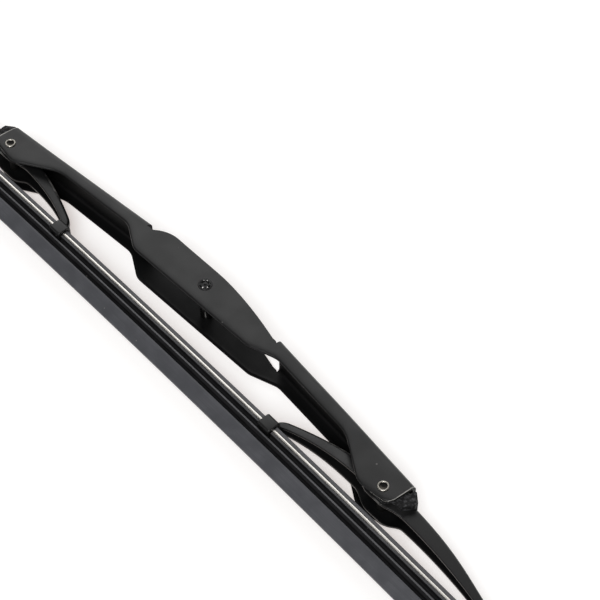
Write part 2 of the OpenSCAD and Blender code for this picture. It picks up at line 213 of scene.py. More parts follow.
@dataclass
class Surface:
    """Points in millimetres with the faces between them, before they are a mesh."""

    points: Array
    faces: list[list[int]]
    # Mask of edge wear and painted highlight, one value for each point.
    edge: Array
    zones: list[int]

    @classmethod
    def from_grid(
        cls,
        points: Array,
        edge: Array | None = None,
        zones: Sequence[int] | None = None,
        wrap_rows: bool = False,
        wrap_cols: bool = False,
        capped: bool = False,
    ) -> "Surface":
        """Surface over a grid of points.

        Args:
            points: Array of rows, columns and xyz.
            edge: Mask of edge wear and painted highlight at each point, 0 to 1.
            zones: Material number of each column's faces.
            wrap_rows: Whether the last row joins the first.
            wrap_cols: Whether each row closes on itself.
            capped: Whether the first and last rows are closed by one face each.

        Returns:
            The surface.
        """
        rows, cols = points.shape[:2]
        faces = grid_faces(rows, cols, wrap_rows, wrap_cols)
        if zones is None:
            numbers = [0] * len(faces)
        else:
            per_row = cols if wrap_cols else cols - 1
            numbers = np.tile(np.asarray(zones)[:per_row], len(faces) // per_row).tolist()
        listed = faces.tolist()
        if capped:
            listed.append(list(range(cols - 1, -1, -1)))
            listed.append(list(range((rows - 1) * cols, rows * cols)))
            numbers += [0, 0]
        mask = np.zeros(rows * cols) if edge is None else np.asarray(edge, float).reshape(-1)
        return cls(points.reshape(-1, 3).astype(float), listed, mask, numbers)

    @classmethod
    def joined(cls, parts: Sequence["Surface"]) -> "Surface":
        """One surface that holds all the parts, with their points numbered on."""
        starts = np.cumsum([0] + [len(p.points) for p in parts])
        faces = [
            [i + int(start) for i in face]
            for part, start in zip(parts, starts)
            for face in part.faces
        ]
        return cls(
            np.concatenate([p.points for p in parts]),
            faces,
            np.concatenate([p.edge for p in parts]),
            [z for p in parts for z in p.zones],
        )

    def mirrored(self) -> "Surface":
        """The same surface on the other side of the blade's middle, facing outwards."""
        flipped = self.points * np.array([-1.0, 1.0, 1.0])
        return Surface(flipped, [f[::-1] for f in self.faces], self.edge, self.zones)

    def volume(self) -> float:
        """Signed volume: a sixth of each fan triangle's triple product, summed."""
        total = 0.0
        sizes = np.array([len(f) for f in self.faces])
        for size in np.unique(sizes):
            group = np.array([f for f in self.faces if len(f) == size])
            corner = self.points[group]
            for k in range(1, size - 1):
                cross = np.cross(corner[:, k], corner[:, k + 1])
                total += float(np.sum(corner[:, 0] * cross)) / 6.0
        return total

    def outward(self) -> "Surface":
        """The closed surface with its faces turned so that its volume is positive."""
        if self.volume() >= 0:
            return self
        return Surface(self.points, [f[::-1] for f in self.faces], self.edge, self.zones)

    def as_object(self, name: str, materials: Sequence[bpy.types.Material]) -> bpy.types.Object:
        """Writes the surface into a new smooth-shaded object.

        Args:
            name: Name of the piece.
            materials: Materials in the order of the zone numbers.

        Returns:
            The object, at the origin, in metres.
        """
        mesh = bpy.data.meshes.new(name)
        mesh.from_pydata((self.points * MM).tolist(), [], self.faces)
        mesh.polygons.foreach_set("material_index", self.zones)
        mask = mesh.attributes.new(WEAR_AND_HIGHLIGHT_ATTRIBUTE, "FLOAT", "POINT")
        mask.data.foreach_set("value", self.edge.astype(np.float32))
        for material in materials:
            mesh.materials.append(material)
        weld(mesh)
        mesh.shade_smooth()
        piece = bpy.data.objects.new(name, mesh)
        bpy.context.scene.collection.objects.link(piece)
        return piece


def weld(mesh: bpy.types.Mesh, distance: float = 2e-6) -> None:
    """Merges the points of a mesh that lie within a distance of each other."""
    work = bmesh.new()
    work.from_mesh(mesh)
    bmesh.ops.remove_doubles(work, verts=work.verts, dist=distance)
    bmesh.ops.dissolve_degenerate(work, edges=work.edges, dist=1e-7)
    work.to_mesh(mesh)
    work.free()


def crease(piece: bpy.types.Object, degrees: float) -> None:
    """Keeps the edges of a smooth piece crisp where its faces turn by more than that."""
    piece.data.set_sharp_from_angle(angle=math.radians(degrees))


def add_bevel(piece: bpy.types.Object, width: float, segments: int, degrees: float) -> None:
    """Rounds the hard edges of a piece with a Bevel modifier.

    Args:
        piece: The piece.
        width: Width of the rounding, in millimetres.
        segments: Number of steps in the rounding.
        degrees: Angle above which an edge is rounded.
    """
    bevel = piece.modifiers.new("rounded edges", "BEVEL")
    bevel.width = width * MM
    bevel.segments = segments
    bevel.limit_method = "ANGLE"
    bevel.angle_limit = math.radians(degrees)
    bevel.harden_normals = True


# ---------------------------------------------------------------------------
# Shader node groups
# ---------------------------------------------------------------------------


def connect(tree: bpy.types.NodeTree, node: bpy.types.Node, inputs: Inputs) -> None:
    """Links or sets the inputs of a node.

    Args:
        tree: The node tree.
        node: The node.
        inputs: For each input, a value to set or an output socket to link.
    """
    for key, value in inputs.items():
        if isinstance(value, bpy.types.NodeSocket):
            tree.links.new(value, node.inputs[key])
        else:
            node.inputs[key].default_value = value


def put(
    tree: bpy.types.NodeTree, kind: str, inputs: Inputs | None = None, **settings: object
) -> bpy.types.Node:
    """Adds a node to a tree, sets it and joins it up.

    Args:
        tree: The node tree.
        kind: Blender's name of the node type.
        inputs: For each input, a value to set or an output socket to link.
        settings: Attributes of the node, set before its inputs.

    Returns:
        The node.
    """
    node = tree.nodes.new(kind)
    for key, value in settings.items():
        setattr(node, key, value)
    connect(tree, node, inputs or {})
    return node


def math_node(tree: bpy.types.NodeTree, operation: str, *values: object) -> bpy.types.NodeSocket:
    """Output of a Math node on one to three values or sockets."""
    node = put(tree, "ShaderNodeMath", dict(enumerate(values)), operation=operation)
    return node.outputs[0]


def ramped(
    tree: bpy.types.NodeTree, value: object, low: float, high: float, to_low: float, to_high: float
) -> bpy.types.NodeSocket:
    """Output of a smooth Map Range node from one range to another."""
    inputs: Inputs = {"Value": value, "From Min": low, "From Max": high}
    inputs |= {"To Min": to_low, "To Max": to_high}
    node = put(tree, "ShaderNodeMapRange", inputs, interpolation_type="SMOOTHSTEP")
    return node.outputs[0]


def mixed(
    tree: bpy.types.NodeTree, factor: object, first: object, second: object
) -> bpy.types.NodeSocket:
    """Output of a colour Mix node."""
    inputs: Inputs = {0: factor, 6: first, 7: second}
    return put(tree, "ShaderNodeMix", inputs, data_type="RGBA").outputs[2]


class Effect(Enum):
    """Surface effects that several finishes share, each a node group."""

    ORANGE_PEEL = "orange_peel"
    DRAWN_LINES = "drawn_lines"
    DUST = "dust"
    # Edge wear and painted highlights, from the mask.
    EDGE_WEAR = "edge_wear"


@dataclass
class EffectShelf:
    """Builds each shared node group once and hands it out."""

    groups: dict[Effect, bpy.types.NodeTree] = field(default_factory=dict)

    def place(
        self, tree: bpy.types.NodeTree, effect: Effect, inputs: Inputs
    ) -> bpy.types.Node:
        """Places an effect in a material's tree.

        Args:
            tree: The material's node tree.
            effect: The effect.
            inputs: Values or sockets for the group's inputs.

        Returns:
            The group node.
        """
        if effect not in self.groups:
            self.groups[effect] = getattr(self, f"_{effect.value}")()
        return put(tree, "ShaderNodeGroup", inputs, node_tree=self.groups[effect])

    @staticmethod
    def _new_group(
        name: str, inputs: Sequence[str], outputs: Sequence[str]
    ) -> tuple[bpy.types.NodeTree, bpy.types.Node, bpy.types.Node]:
        """Empty group with a Position input, the named float inputs and outputs."""
        tree = bpy.data.node_groups.new(name, "ShaderNodeTree")
        tree.interface.new_socket(
            name="Position", in_out="INPUT", socket_type="NodeSocketVector"
        )
        for label in inputs:
            tree.interface.new_socket(name=label, in_out="INPUT", socket_type="NodeSocketFloat")
        for label in outputs:
            tree.interface.new_socket(name=label, in_out="OUTPUT", socket_type="NodeSocketFloat")
        return tree, tree.nodes.new("NodeGroupInput"), tree.nodes.new("NodeGroupOutput")

    def _orange_peel(self) -> bpy.types.NodeTree:
        """Two noises: the coat's fine ripple as a height, and a slow cloud of thickness."""
        tree, given, made = self._new_group(
            Effect.ORANGE_PEEL.value, ["Ripples Per Metre"], ["Height", "Cloud"]
        )
        place, scale = given.outputs["Position"], given.outputs["Ripples Per Metre"]
        ripple = put(
            tree, "ShaderNodeTexNoise", {"Vector": place, "Scale": scale, "Detail": 2.0}
        )
        slow = math_node(tree, "MULTIPLY", scale, 0.06)
        cloud = put(tree, "ShaderNodeTexNoise", {"Vector": place, "Scale": slow, "Detail": 3.0})
        tree.links.new(ripple.outputs[0], made.inputs["Height"])
        tree.links.new(ramped(tree, cloud.outputs[0], 0.3, 0.7, 0.0, 1.0), made.inputs["Cloud"])
        return tree

    def _drawn_lines(self) -> bpy.types.NodeTree:
        """Noise squeezed across the blade and stretched along it, as a die leaves it."""
        tree, given, made = self._new_group(
            Effect.DRAWN_LINES.value, ["Lines Per Metre", "Stretch"], ["Lines"]
        )
        parts = put(tree, "ShaderNodeSeparateXYZ", {0: given.outputs["Position"]})
        along = math_node(tree, "DIVIDE", parts.outputs[0], given.outputs["Stretch"])
        place = put(
            tree, "ShaderNodeCombineXYZ", {0: along, 1: parts.outputs[1], 2: parts.outputs[2]}
        )
        noise = put(
            tree,
            "ShaderNodeTexNoise",
            {
                "Vector": place.outputs[0],
                "Scale": given.outputs["Lines Per Metre"],
                "Detail": 4.0,
                "Roughness": 0.6,
            },
        )
        tree.links.new(ramped(tree, noise.outputs[0], 0.25, 0.75, 0.0, 1.0), made.inputs["Lines"])
        return tree

    def _dust(self) -> bpy.types.NodeTree:
        """Small round specks, one in a share of the cells of a Voronoi pattern."""
        tree, given, made = self._new_group(
            Effect.DUST.value, ["Cells Per Metre", "Share"], ["Specks"]
        )
        cells = put(
            tree,
            "ShaderNodeTexVoronoi",
            {"Vector": given.outputs["Position"], "Scale": given.outputs["Cells Per Metre"]},
        )
        near = ramped(tree, cells.outputs["Distance"], 0.05, 0.16, 1.0, 0.0)
        pick = put(tree, "ShaderNodeSeparateXYZ", {0: cells.outputs["Color"]})
        chosen = math_node(tree, "LESS_THAN", pick.outputs[0], given.outputs["Share"])
        tree.links.new(math_node(tree, "MULTIPLY", near, chosen), made.inputs["Specks"])
        return tree

    def _edge_wear(self) -> bpy.types.NodeTree:
        """The mask of edge wear and painted highlights, broken up by a noise so that the line
        isn't even.
        """
        tree, given, made = self._new_group(Effect.EDGE_WEAR.value, ["Edge", "Reach"], ["Wear"])
        noise = put(
            tree,
            "ShaderNodeTexNoise",
            {"Vector": given.outputs["Position"], "Scale": 420.0, "Detail": 4.0},
        )
        uneven = math_node(tree, "MULTIPLY_ADD", noise.outputs[0], 0.7, -0.35)
        reached = math_node(tree, "ADD", given.outputs["Edge"], uneven)
        start = math_node(tree, "SUBTRACT", 1.0, given.outputs["Reach"])
        inputs: Inputs = {"Value": reached, "From Min": start, "From Max": 1.05}
        coat_with_wear_and_highlight = put(tree, "ShaderNodeMapRange", inputs, interpolation_type="SMOOTHSTEP")
        tree.links.new(coat_with_wear_and_highlight.outputs[0], made.inputs["Wear"])
        return tree


SHELF = EffectShelf()


# ---------------------------------------------------------------------------
# Finishes
# ---------------------------------------------------------------------------

Colour = tuple[float, float, float]


def opaque(colour: Colour) -> tuple[float, float, float, float]:
    """The colour with full alpha, as a socket takes it."""
    return (*colour, 1.0)


def dusted(
    tree: bpy.types.NodeTree,
    place: bpy.types.NodeSocket,
    colour: bpy.types.NodeSocket,
    specks: tuple[float, float, Colour],
) -> bpy.types.NodeSocket:
    """Lays dust specks over a colour.

    Args:
        tree: The material's node tree.
        place: Its Object coordinates.
        colour: Output of the colour below.
        specks: The cells a metre, the share of them with a speck, and its colour.

    Returns:
        Output of the speckled colour.
    """
    cells, share, dust_colour = specks
    inputs: Inputs = {"Position": place, "Cells Per Metre": cells, "Share": share}
    dust = SHELF.place(tree, Effect.DUST, inputs)
    return mixed(tree, dust.outputs["Specks"], colour, opaque(dust_colour))


def dress(
    tree: bpy.types.NodeTree, shader: bpy.types.Node, sockets: Inputs, bump: tuple[object, ...]
) -> None:
    """Joins up a Principled shader, with a Bump node as its normal.

    Args:
        tree: The material's node tree.
        shader: Its Principled shader.
        sockets: Values or outputs for the shader's other sockets.
        bump: Output of the height, its distance in metres and its strength.
    """
    given = dict(zip(("Height", "Distance", "Strength"), bump))
    normal = put(tree, "ShaderNodeBump", given).outputs[0]
    connect(tree, shader, sockets | {"Normal": normal})


@dataclass(frozen=True)
class Finish:
    """What every finish has: a name and a way to start its material."""

    name: str

    def start(self) -> tuple[bpy.types.NodeTree, bpy.types.Node, bpy.types.NodeSocket]:
        """New material with a Principled shader and Object coordinates."""
        material = bpy.data.materials.new(self.name)
        material.use_nodes = True
        tree = material.node_tree
        tree.nodes.clear()
        shader = tree.nodes.new("ShaderNodeBsdfPrincipled")
        out = tree.nodes.new("ShaderNodeOutputMaterial")
        tree.links.new(shader.outputs[0], out.inputs["Surface"])
        place = tree.nodes.new("ShaderNodeTexCoord").outputs["Object"]
        return tree, shader, place

    def material(self) -> bpy.types.Material:
        """The finish's material, built the first time that it is asked for."""
        found = bpy.data.materials.get(self.name)
        if found is None:
            self.build()
            found = bpy.data.materials[self.name]
        return found

    def build(self) -> None:
        """Writes the material's nodes."""
        raise NotImplementedError


@dataclass(frozen=True)
class CoatedSteel(Finish):
    """Satin black coat over pressed steel, paler where its mask marks edge wear and painted
    highlights.
    """

    colour: Colour = (0.0045, 0.0044, 0.0045)
    thick_colour: Colour = (0.003, 0.003, 0.0031)
    wear_and_highlight_colour: Colour = (0.026, 0.025, 0.024)
    roughness: float = 0.32
    roughness_spread: float = 0.08
    specular: float = 0.42
    ripples_per_metre: float = 1900.0
    ripple_height: float = 0.05
    ripple_depth: float = 0.0001
    edge_reach: float = 0.75
    dust_share: float = 0.035
    dust_cells: float = 420.0
    dust_colour: Colour = (0.09, 0.088, 0.085)

    def build(self) -> None:
        """Coat colour by thickness cloud, paler where the mask marks edge wear and painted
        highlights, and dust specks.
        """
        tree, shader, place = self.start()
        ripples: Inputs = {"Position": place, "Ripples Per Metre": self.ripples_per_metre}
        peel = SHELF.place(tree, Effect.ORANGE_PEEL, ripples)
        # The mask mixes in the paler colour for edge wear and for painted highlights.
        mask = put(tree, "ShaderNodeAttribute", attribute_name=WEAR_AND_HIGHLIGHT_ATTRIBUTE).outputs["Fac"]
        edge: Inputs = {"Position": place, "Edge": mask, "Reach": self.edge_reach}
        wear_and_highlight_group = SHELF.place(tree, Effect.EDGE_WEAR, edge)
        cloud = peel.outputs["Cloud"]
        coat = mixed(tree, cloud, opaque(self.colour), opaque(self.thick_colour))
        coat_with_wear_and_highlight = mixed(tree, wear_and_highlight_group.outputs["Wear"], coat, opaque(self.wear_and_highlight_colour))
        specks = (self.dust_cells, self.dust_share, self.dust_colour)
        roughest = self.roughness + self.roughness_spread
        sockets: Inputs = {
            "Base Color": dusted(tree, place, coat_with_wear_and_highlight, specks),
            "Roughness": ramped(tree, cloud, 0.0, 1.0, self.roughness, roughest),
            "Specular IOR Level": self.specular,
        }
        dress(
            tree, shader, sockets, (peel.outputs["Height"], self.ripple_depth, self.ripple_height)
        )


@dataclass(frozen=True)
class BareSteel(Finish):
    """Bare rolled or turned steel, with fine lines along the blade."""

    colour: Colour = (0.83, 0.81, 0.76)
    dull_colour: Colour = (0.55, 0.52, 0.47)
    roughness: float = 0.3
    lines_per_metre: float = 9000.0
    stretch: float = 60.0
    roughness_spread: float = 0.15
    line_depth: float = 0.00005
    line_height: float = 0.12
    patches_per_metre: float = 160.0
    most_dull: float = 0.35

    def build(self) -> None:
        """Metal whose colour and gloss follow the drawn lines."""
        tree, shader, place = self.start()
        drawn: Inputs = {"Position": place, "Lines Per Metre": self.lines_per_metre}
        drawn["Stretch"] = self.stretch
        lines = SHELF.place(tree, Effect.DRAWN_LINES, drawn).outputs["Lines"]
        spread: Inputs = {"Vector": place, "Scale": self.patches_per_metre, "Detail": 3.0}
        patches = put(tree, "ShaderNodeTexNoise", spread)
        dull = ramped(tree, patches.outputs[0], 0.45, 0.8, 0.0, self.most_dull)
        roughest = self.roughness + self.roughness_spread
        sockets: Inputs = {
            "Base Color": mixed(tree, dull, opaque(self.colour), opaque(self.dull_colour)),
            "Roughness": ramped(tree, lines, 0.0, 1.0, self.roughness, roughest),
            "Metallic": 1.0,
        }
        dress(tree, shader, sockets, (lines, self.line_depth, self.line_height))


@dataclass(frozen=True)
class BlackRubber(Finish):
    """Extruded rubber with faint lines along it, and a paler bloom in patches."""

    colour: Colour = (0.022, 0.022, 0.024)
    bloom_colour: Colour = (0.045, 0.045, 0.049)
    roughness: float = 0.52
    specular: float = 0.5
    roughness_spread: float = 0.16
    lines_per_metre: float = 4200.0
    stretch: float = 90.0
    line_depth: float = 0.00006
    line_height: float = 0.25
    ripples_per_metre: float = 3000.0
    dust_share: float = 0.05
    dust_cells: float = 500.0
    dust_colour: Colour = (0.2, 0.19, 0.18)

    def build(self) -> None:
        """Rubber colour with bloom where the drawn lines run high."""
        tree, shader, place = self.start()
        drawn: Inputs = {"Position": place, "Lines Per Metre": self.lines_per_metre}
        drawn["Stretch"] = self.stretch
        lines = SHELF.place(tree, Effect.DRAWN_LINES, drawn).outputs["Lines"]
        ripples: Inputs = {"Position": place, "Ripples Per Metre": self.ripples_per_metre}
        peel = SHELF.place(tree, Effect.ORANGE_PEEL, ripples)
        amount = math_node(tree, "MULTIPLY", lines, peel.outputs["Cloud"])
        colour = mixed(tree, amount, opaque(self.colour), opaque(self.bloom_colour))
        specks = (self.dust_cells, self.dust_share, self.dust_colour)
        roughest = self.roughness + self.roughness_spread
        sockets: Inputs = {
            "Base Color": dusted(tree, place, colour, specks),
            "Roughness": ramped(tree, amount, 0.0, 1.0, self.roughness, roughest),
            "Specular IOR Level": self.specular,
        }
        height = math_node(tree, "MULTIPLY_ADD", peel.outputs["Height"], 0.5, lines)
        dress(tree, shader, sockets, (height, self.line_depth, self.line_height))


@dataclass(frozen=True)
class MouldedPlastic(Finish):
    """Moulded black plastic with a pebbled, dull skin."""

    colour: Colour = (0.004, 0.004, 0.0042)
    worn_colour: Colour = (0.04, 0.04, 0.042)
    roughness: float = 0.62
    specular: float = 0.25
    pebbles_per_metre: float = 1100.0
    pebble_height: float = 1.0
    pebble_depth: float = 0.00025

    def build(self) -> None:
        """Pebbled height with the high spots rubbed paler."""
        tree, shader, place = self.start()
        pebbles: Inputs = {"Position": place, "Ripples Per Metre": self.pebbles_per_metre}
        height = SHELF.place(tree, Effect.ORANGE_PEEL, pebbles).outputs["Height"]
        rubbed = ramped(tree, height, 0.46, 0.7, 0.0, 1.0)
        roughest, smoothest = self.roughness + 0.1, self.roughness - 0.12
        sockets: Inputs = {
            "Base Color": mixed(tree, rubbed, opaque(self.colour), opaque(self.worn_colour)),
            "Roughness": ramped(tree, rubbed, 0.0, 1.0, roughest, smoothest),
            "Specular IOR Level": self.specular,
        }
        dress(tree, shader, sockets, (height, self.pebble_depth, self.pebble_height))


# Its paler mark colour is a painted glint along the end cuts and lobe bottoms, with some edge
# wear.
BRIDGE_COAT = CoatedSteel("bridge_coat", wear_and_highlight_colour=(0.34, 0.33, 0.31))
# Its paler mark colour is painted highlight on the ears' lower edges, the inner arm's bend and the
# claw ends, with faint edge wear.
LEVER_COAT = CoatedSteel(
    "lever_coat", wear_and_highlight_colour=(0.3, 0.29, 0.28), ripples_per_metre=2300.0
)
# Painted shade: a darker, duller copy of the coat for the inner faces and cut rims of the
# channels.
SHADED_INNER_COAT = CoatedSteel(
    "shaded_inner_coat",
    colour=(0.0022, 0.0022, 0.0023),
    thick_colour=(0.0014, 0.0014, 0.0015),
    wear_and_highlight_colour=(0.012, 0.0118, 0.0115),
    roughness=0.46,
    roughness_spread=0.1,
    specular=0.16,
    dust_share=0.02,
)
# Its pale mark colour paints four glints on each staked head and a reflection streak down the
# shaft.
PIN_COAT = CoatedSteel(
    "pin_coat",
    colour=(0.003, 0.003, 0.003),
    thick_colour=(0.002, 0.002, 0.002),
    wear_and_highlight_colour=(0.85, 0.83, 0.8),
    roughness=0.22,
    roughness_spread=0.06,
    specular=0.24,
    edge_reach=0.5,
    dust_share=0.0,
)
STRIP_STEEL = BareSteel("strip_steel", colour=(0.85, 0.82, 0.77))
RIVET_STEEL = BareSteel(
    "rivet_steel",
    colour=(0.42, 0.4, 0.36),
    dull_colour=(0.2, 0.19, 0.16),
    roughness=0.3,
    stretch=1.0,
)
# Painted shade: a near-black coat on the rivets' bore floors and tubes, with a painted lit side
# from the mask.
RIVET_BORE_SHADE = CoatedSteel(
    "rivet_bore",
    colour=(0.004, 0.0038, 0.0033),
    thick_colour=(0.003, 0.0028, 0.0025),
    wear_and_highlight_colour=(0.075, 0.067, 0.055),
    roughness=0.5,
    specular=0.1,
)
HEAD_RUBBER = BlackRubber(
    "head_rubber", colour=(0.034, 0.034, 0.037), bloom_colour=(0.062, 0.061, 0.066)
)
# Painted highlight: a paler copy of the head rubber on the cap and the ridge's faces.
LIT_CREST_RUBBER = BlackRubber(
    "lit_crest_rubber", colour=(0.056, 0.056, 0.06), bloom_colour=(0.085, 0.084, 0.09)
)
# Painted shade: a near-black, duller copy of the rubber in the grooves and the faces between them.
SHADED_GROOVE_RUBBER = BlackRubber(
    "shaded_groove_rubber",
    colour=(0.004, 0.004, 0.0045),
    bloom_colour=(0.009, 0.009, 0.01),
    roughness=0.7,
    specular=0.15,
)
LIP_GRAPHITE = BlackRubber(
    "lip_graphite",
    colour=(0.04, 0.041, 0.047),
    bloom_colour=(0.062, 0.063, 0.071),
    roughness=0.48,
    line_height=0.12,
)
LINER_PLASTIC = MouldedPlastic("liner_plastic")


# ---------------------------------------------------------------------------
# Bridge
# ---------------------------------------------------------------------------


@dataclass
class Bridge:
    """Pressed channel with two arms, a slot between bulging cheeks, and pivot lobes."""

    width: float = 14.4
    cheek_width: float = 15.8
    sheet: float = 1.05
    bend_r: float = 2.0
    slot_half: float = 30.5
    slot_shift: float = 0.4
    slot_spine_y: float = 3.6
    arm_pitch: float = 5.4
    depth_inner: float = 5.15
    depth_outer: float = 4.55
    hump_y: float = 5.85
    cheek_drop: float = 6.3
    cheek_tilt: float = 1.9
    shoulder_r: float = 12.0
    lobe_drop: float = 4.2
    end_reach: float = 5.25
    end_lean: float = 6.0
    pivot_x: float = 87.5
    pivot_y: float = -8.95
    lean_depth: float = 0.3
    lean_reach: float = 2.6
    edge_r: float = 0.45
    taper_start: float = 29.0
    lobe_start: float = 76.0
    right_rise: float = 0.45
    rise_share: float = 0.62
    notch_drop: float = 1.75
    apex_x: float = 1.0
    shoulder_x: float = -19.0
    shoulder_fall: float = 0.35
    slot_run: float = 2.0
    fall_power: float = 1.7
    foot_run: float = 0.7
    knee_reach: float = 2.0
    end_blend: float = 7.0
    # Reach from each end over which the lobe's bottom edge carries a painted glint.
    wear_and_glint_from: float = 1.5
    cut_r: float = 0.16
    corner_in_right: float = 5.4
    corner_in_left: float = 4.1
    crowding: float = 0.35
    end_rise: float = 1.4
    cheek_corner_r: float = 6.0
    arm_corner_r: float = 7.0
    lobe_corner_r: float = 12.0
    lobe_low_r: float = 7.0
    end_corner_r: float = 3.4
    arm_start: float = 4.8
    lobe_reach: float = 20.3
    lobe_low_reach: float = 6.2
    corner_steps: int = 24
    arm_columns: int = 70
    slot_columns: int = 90

    def slot(self, side: Side) -> float:
        """Distance of the slot's end from the centre pin on one side."""
        return self.slot_half + side.value * self.slot_shift

    def spine(self, x: Array | float) -> Array | float:
        """Height of the spine's outer face at a distance from the centre pin."""
        return self.slot_spine_y - (np.abs(x) - self.slot_half) * math.tan(
            math.radians(self.arm_pitch)
        )

    def end_edge(self, y: Array | float, side: Side) -> Array | float:
        """Distance outwards of the leaning end cut at a height."""
        lean = math.tan(math.radians(self.end_lean))
        return self.pivot_x + self.end_reach + side.value * (y - self.pivot_y) * lean

    def half_width(self, x: Array) -> Array:
        """Half the width at x: the cheeks', then straight tapers along the arms."""
        share = np.clip((self.lobe_start - np.abs(x)) / (self.lobe_start - self.taper_start), 0, 1)
        return self.width / 2 + (self.cheek_width - self.width) / 2 * share

    def arm_point(self, side: Side, u: Array, h: Array) -> tuple[Array, Array]:
        """Place on an arm in the side view.

        A point at height h above the spine's face runs along the pitched arm from the
        upright cut at the slot (u = 0) to the leaning cut at the bridge's end (u = 1).

        Args:
            side: Which arm.
            u: Share of the way from slot to end.
            h: Height above the spine's outer face, square to it.

        Returns:
            Distances outwards and heights.
        """
        pitch = math.radians(self.arm_pitch)
        c, n = math.cos(pitch), math.sin(pitch)
        lean = side.value * math.tan(math.radians(self.end_lean))
        start = (self.slot(side) - self.slot_half - h * n) / c
        rise = self.slot_spine_y + h * c - self.pivot_y
        reach = self.pivot_x + self.end_reach - self.slot_half - h * n + lean * rise
        along = start + u * (reach / (c + lean * n) - start)
        lift = self.right_rise * ease(u / self.rise_share) if side is Side.RIGHT else 0.0 * u
        return (
            self.slot_half + along * c + h * n,
            self.slot_spine_y - along * n + h * c + lift,
        )

    def lower_outline(self) -> Array:
        """Side view from the left end cut's top, round below, to the right one's top.

        Returns:
            Points of the outline. Each rounded corner has 25 of them.
        """
        lobe_y = self.pivot_y - self.lobe_drop
        end_y = lobe_y + self.end_rise
        corners: list[list[float]] = []
        corners_in = {Side.RIGHT: self.corner_in_right, Side.LEFT: self.corner_in_left}
        for side, corner_in in corners_in.items():
            corner = self.slot(side) - corner_in
            tilt = side.value * corner * math.tan(math.radians(self.cheek_tilt))
            arm, lobe = self.slot_half + self.arm_start, self.pivot_x - self.lobe_reach
            top = float(self.arm_point(side, np.array(1.0), np.array(-self.bend_r))[1])
            half = [
                [corner, -self.cheek_drop + tilt, self.cheek_corner_r],
                [arm, float(self.spine(arm)) - self.depth_inner, self.arm_corner_r],
                [lobe, float(self.spine(lobe)) - self.depth_outer, self.lobe_corner_r],
                [self.pivot_x - self.lobe_low_reach, lobe_y, self.lobe_low_r],
                [float(self.end_edge(end_y, side)), end_y, self.end_corner_r],
                [float(self.end_edge(top, side)), top, 0.0],
            ]
            if side is Side.RIGHT:
                corners = corners + half
            else:
                corners = [[-x, y, r] for x, y, r in half[::-1]] + corners
        return fillet(np.array(corners), self.corner_steps, closed=False)

    def cheek_top(self, x: Array) -> Array:
        """Height of the cheeks' upper edge inside the slot.

        Right of the apex it falls as a power of the distance. Left of it a
        shallow line leads to a round shoulder. Both end on the notch's floor, which
        eases down to the bend's foot at the slot's ends.
        """
        notch = self.slot_spine_y - self.notch_drop
        right, left = self.slot(Side.RIGHT), self.slot(Side.LEFT)
        apex, shoulder_x = self.apex_x, self.shoulder_x
        shoulder_y = self.hump_y - self.shoulder_fall
        u = np.clip((x - apex) / (right - self.slot_run - apex), 0.0, 1.0)
        falling = self.hump_y - (self.hump_y - notch) * u**self.fall_power
        away = ease((apex - x) / (apex - shoulder_x) / 1.05) ** 0.9
        leaning = self.hump_y - self.shoulder_fall * away
        past = np.clip(shoulder_x - x, 0.0, self.shoulder_r)
        round_off = self.shoulder_r - np.sqrt(self.shoulder_r**2 - past**2)
        left_y = np.maximum(np.where(x < shoulder_x, shoulder_y - round_off, leaning), notch)
        top = np.where(x > apex, falling, left_y)
        foot_r = self.arm_point(Side.RIGHT, np.array(0.0), np.array(-self.bend_r))[1]
        foot_l = self.arm_point(Side.LEFT, np.array(0.0), np.array(-self.bend_r))[1]
        top = top + (foot_r - notch) * ease((x - right + self.foot_run) / self.foot_run)
        return top + (foot_l - notch) * ease((-x - left + self.foot_run) / self.foot_run)

    def roll(self, off_edge: Array) -> Array:
        """How far the wall's face lies inwards at a distance from its lower edge.

        A slight lean that grows with the cube of the nearness, and a quarter round of
        radius edge_r at the edge itself.
        """
        lean = self.lean_depth * np.clip(1.0 - off_edge / self.lean_reach, 0.0, 1.0) ** 3
        past = np.clip(self.edge_r - off_edge, 0.0, self.edge_r)
        return lean + self.edge_r - np.sqrt(self.edge_r**2 - past**2)

    def wall(self, cheek: Cheek) -> Surface:
        """One side wall, as a grid between its lower and upper outlines.

        Columns are straight lines from the lower outline to the upper one. Near the
        ends they shift along the blade by what the rounded end cut departs from
        straight. The wall's face rolls inwards at its lower edge.

        Args:
            cheek: Which wall.

        Returns:
            The wall's outer face, open all round.
        """
        outline = self.lower_outline()
        u = crowded(self.arm_columns, self.crowding)
        foot = np.array(-self.bend_r)
        right_x, right_y = self.arm_point(Side.RIGHT, u, foot)
        left_x, left_y = self.arm_point(Side.LEFT, u[::-1], foot)
        inner = np.linspace(-self.slot(Side.LEFT), self.slot(Side.RIGHT), self.slot_columns)[1:-1]
        top_x = np.concatenate([-left_x, inner, right_x])
        top_y = np.concatenate([left_y, self.cheek_top(inner), right_y])

        middle = 1 + self.corner_steps // 2
        lower = outline[middle:-middle]
        knee = self.pivot_x - self.knee_reach
        ends = np.where(top_x > 0, lower[-1, 0], -lower[0, 0])
        top_ends = np.where(top_x > 0, top_x[-1], -top_x[0])
        beyond = (np.abs(top_x) - knee) * (ends - knee) / (top_ends - knee)
        low_x = np.sign(top_x) * np.where(np.abs(top_x) > knee, knee + beyond, np.abs(top_x))
        low_y = np.interp(low_x, lower[:, 0], lower[:, 1])

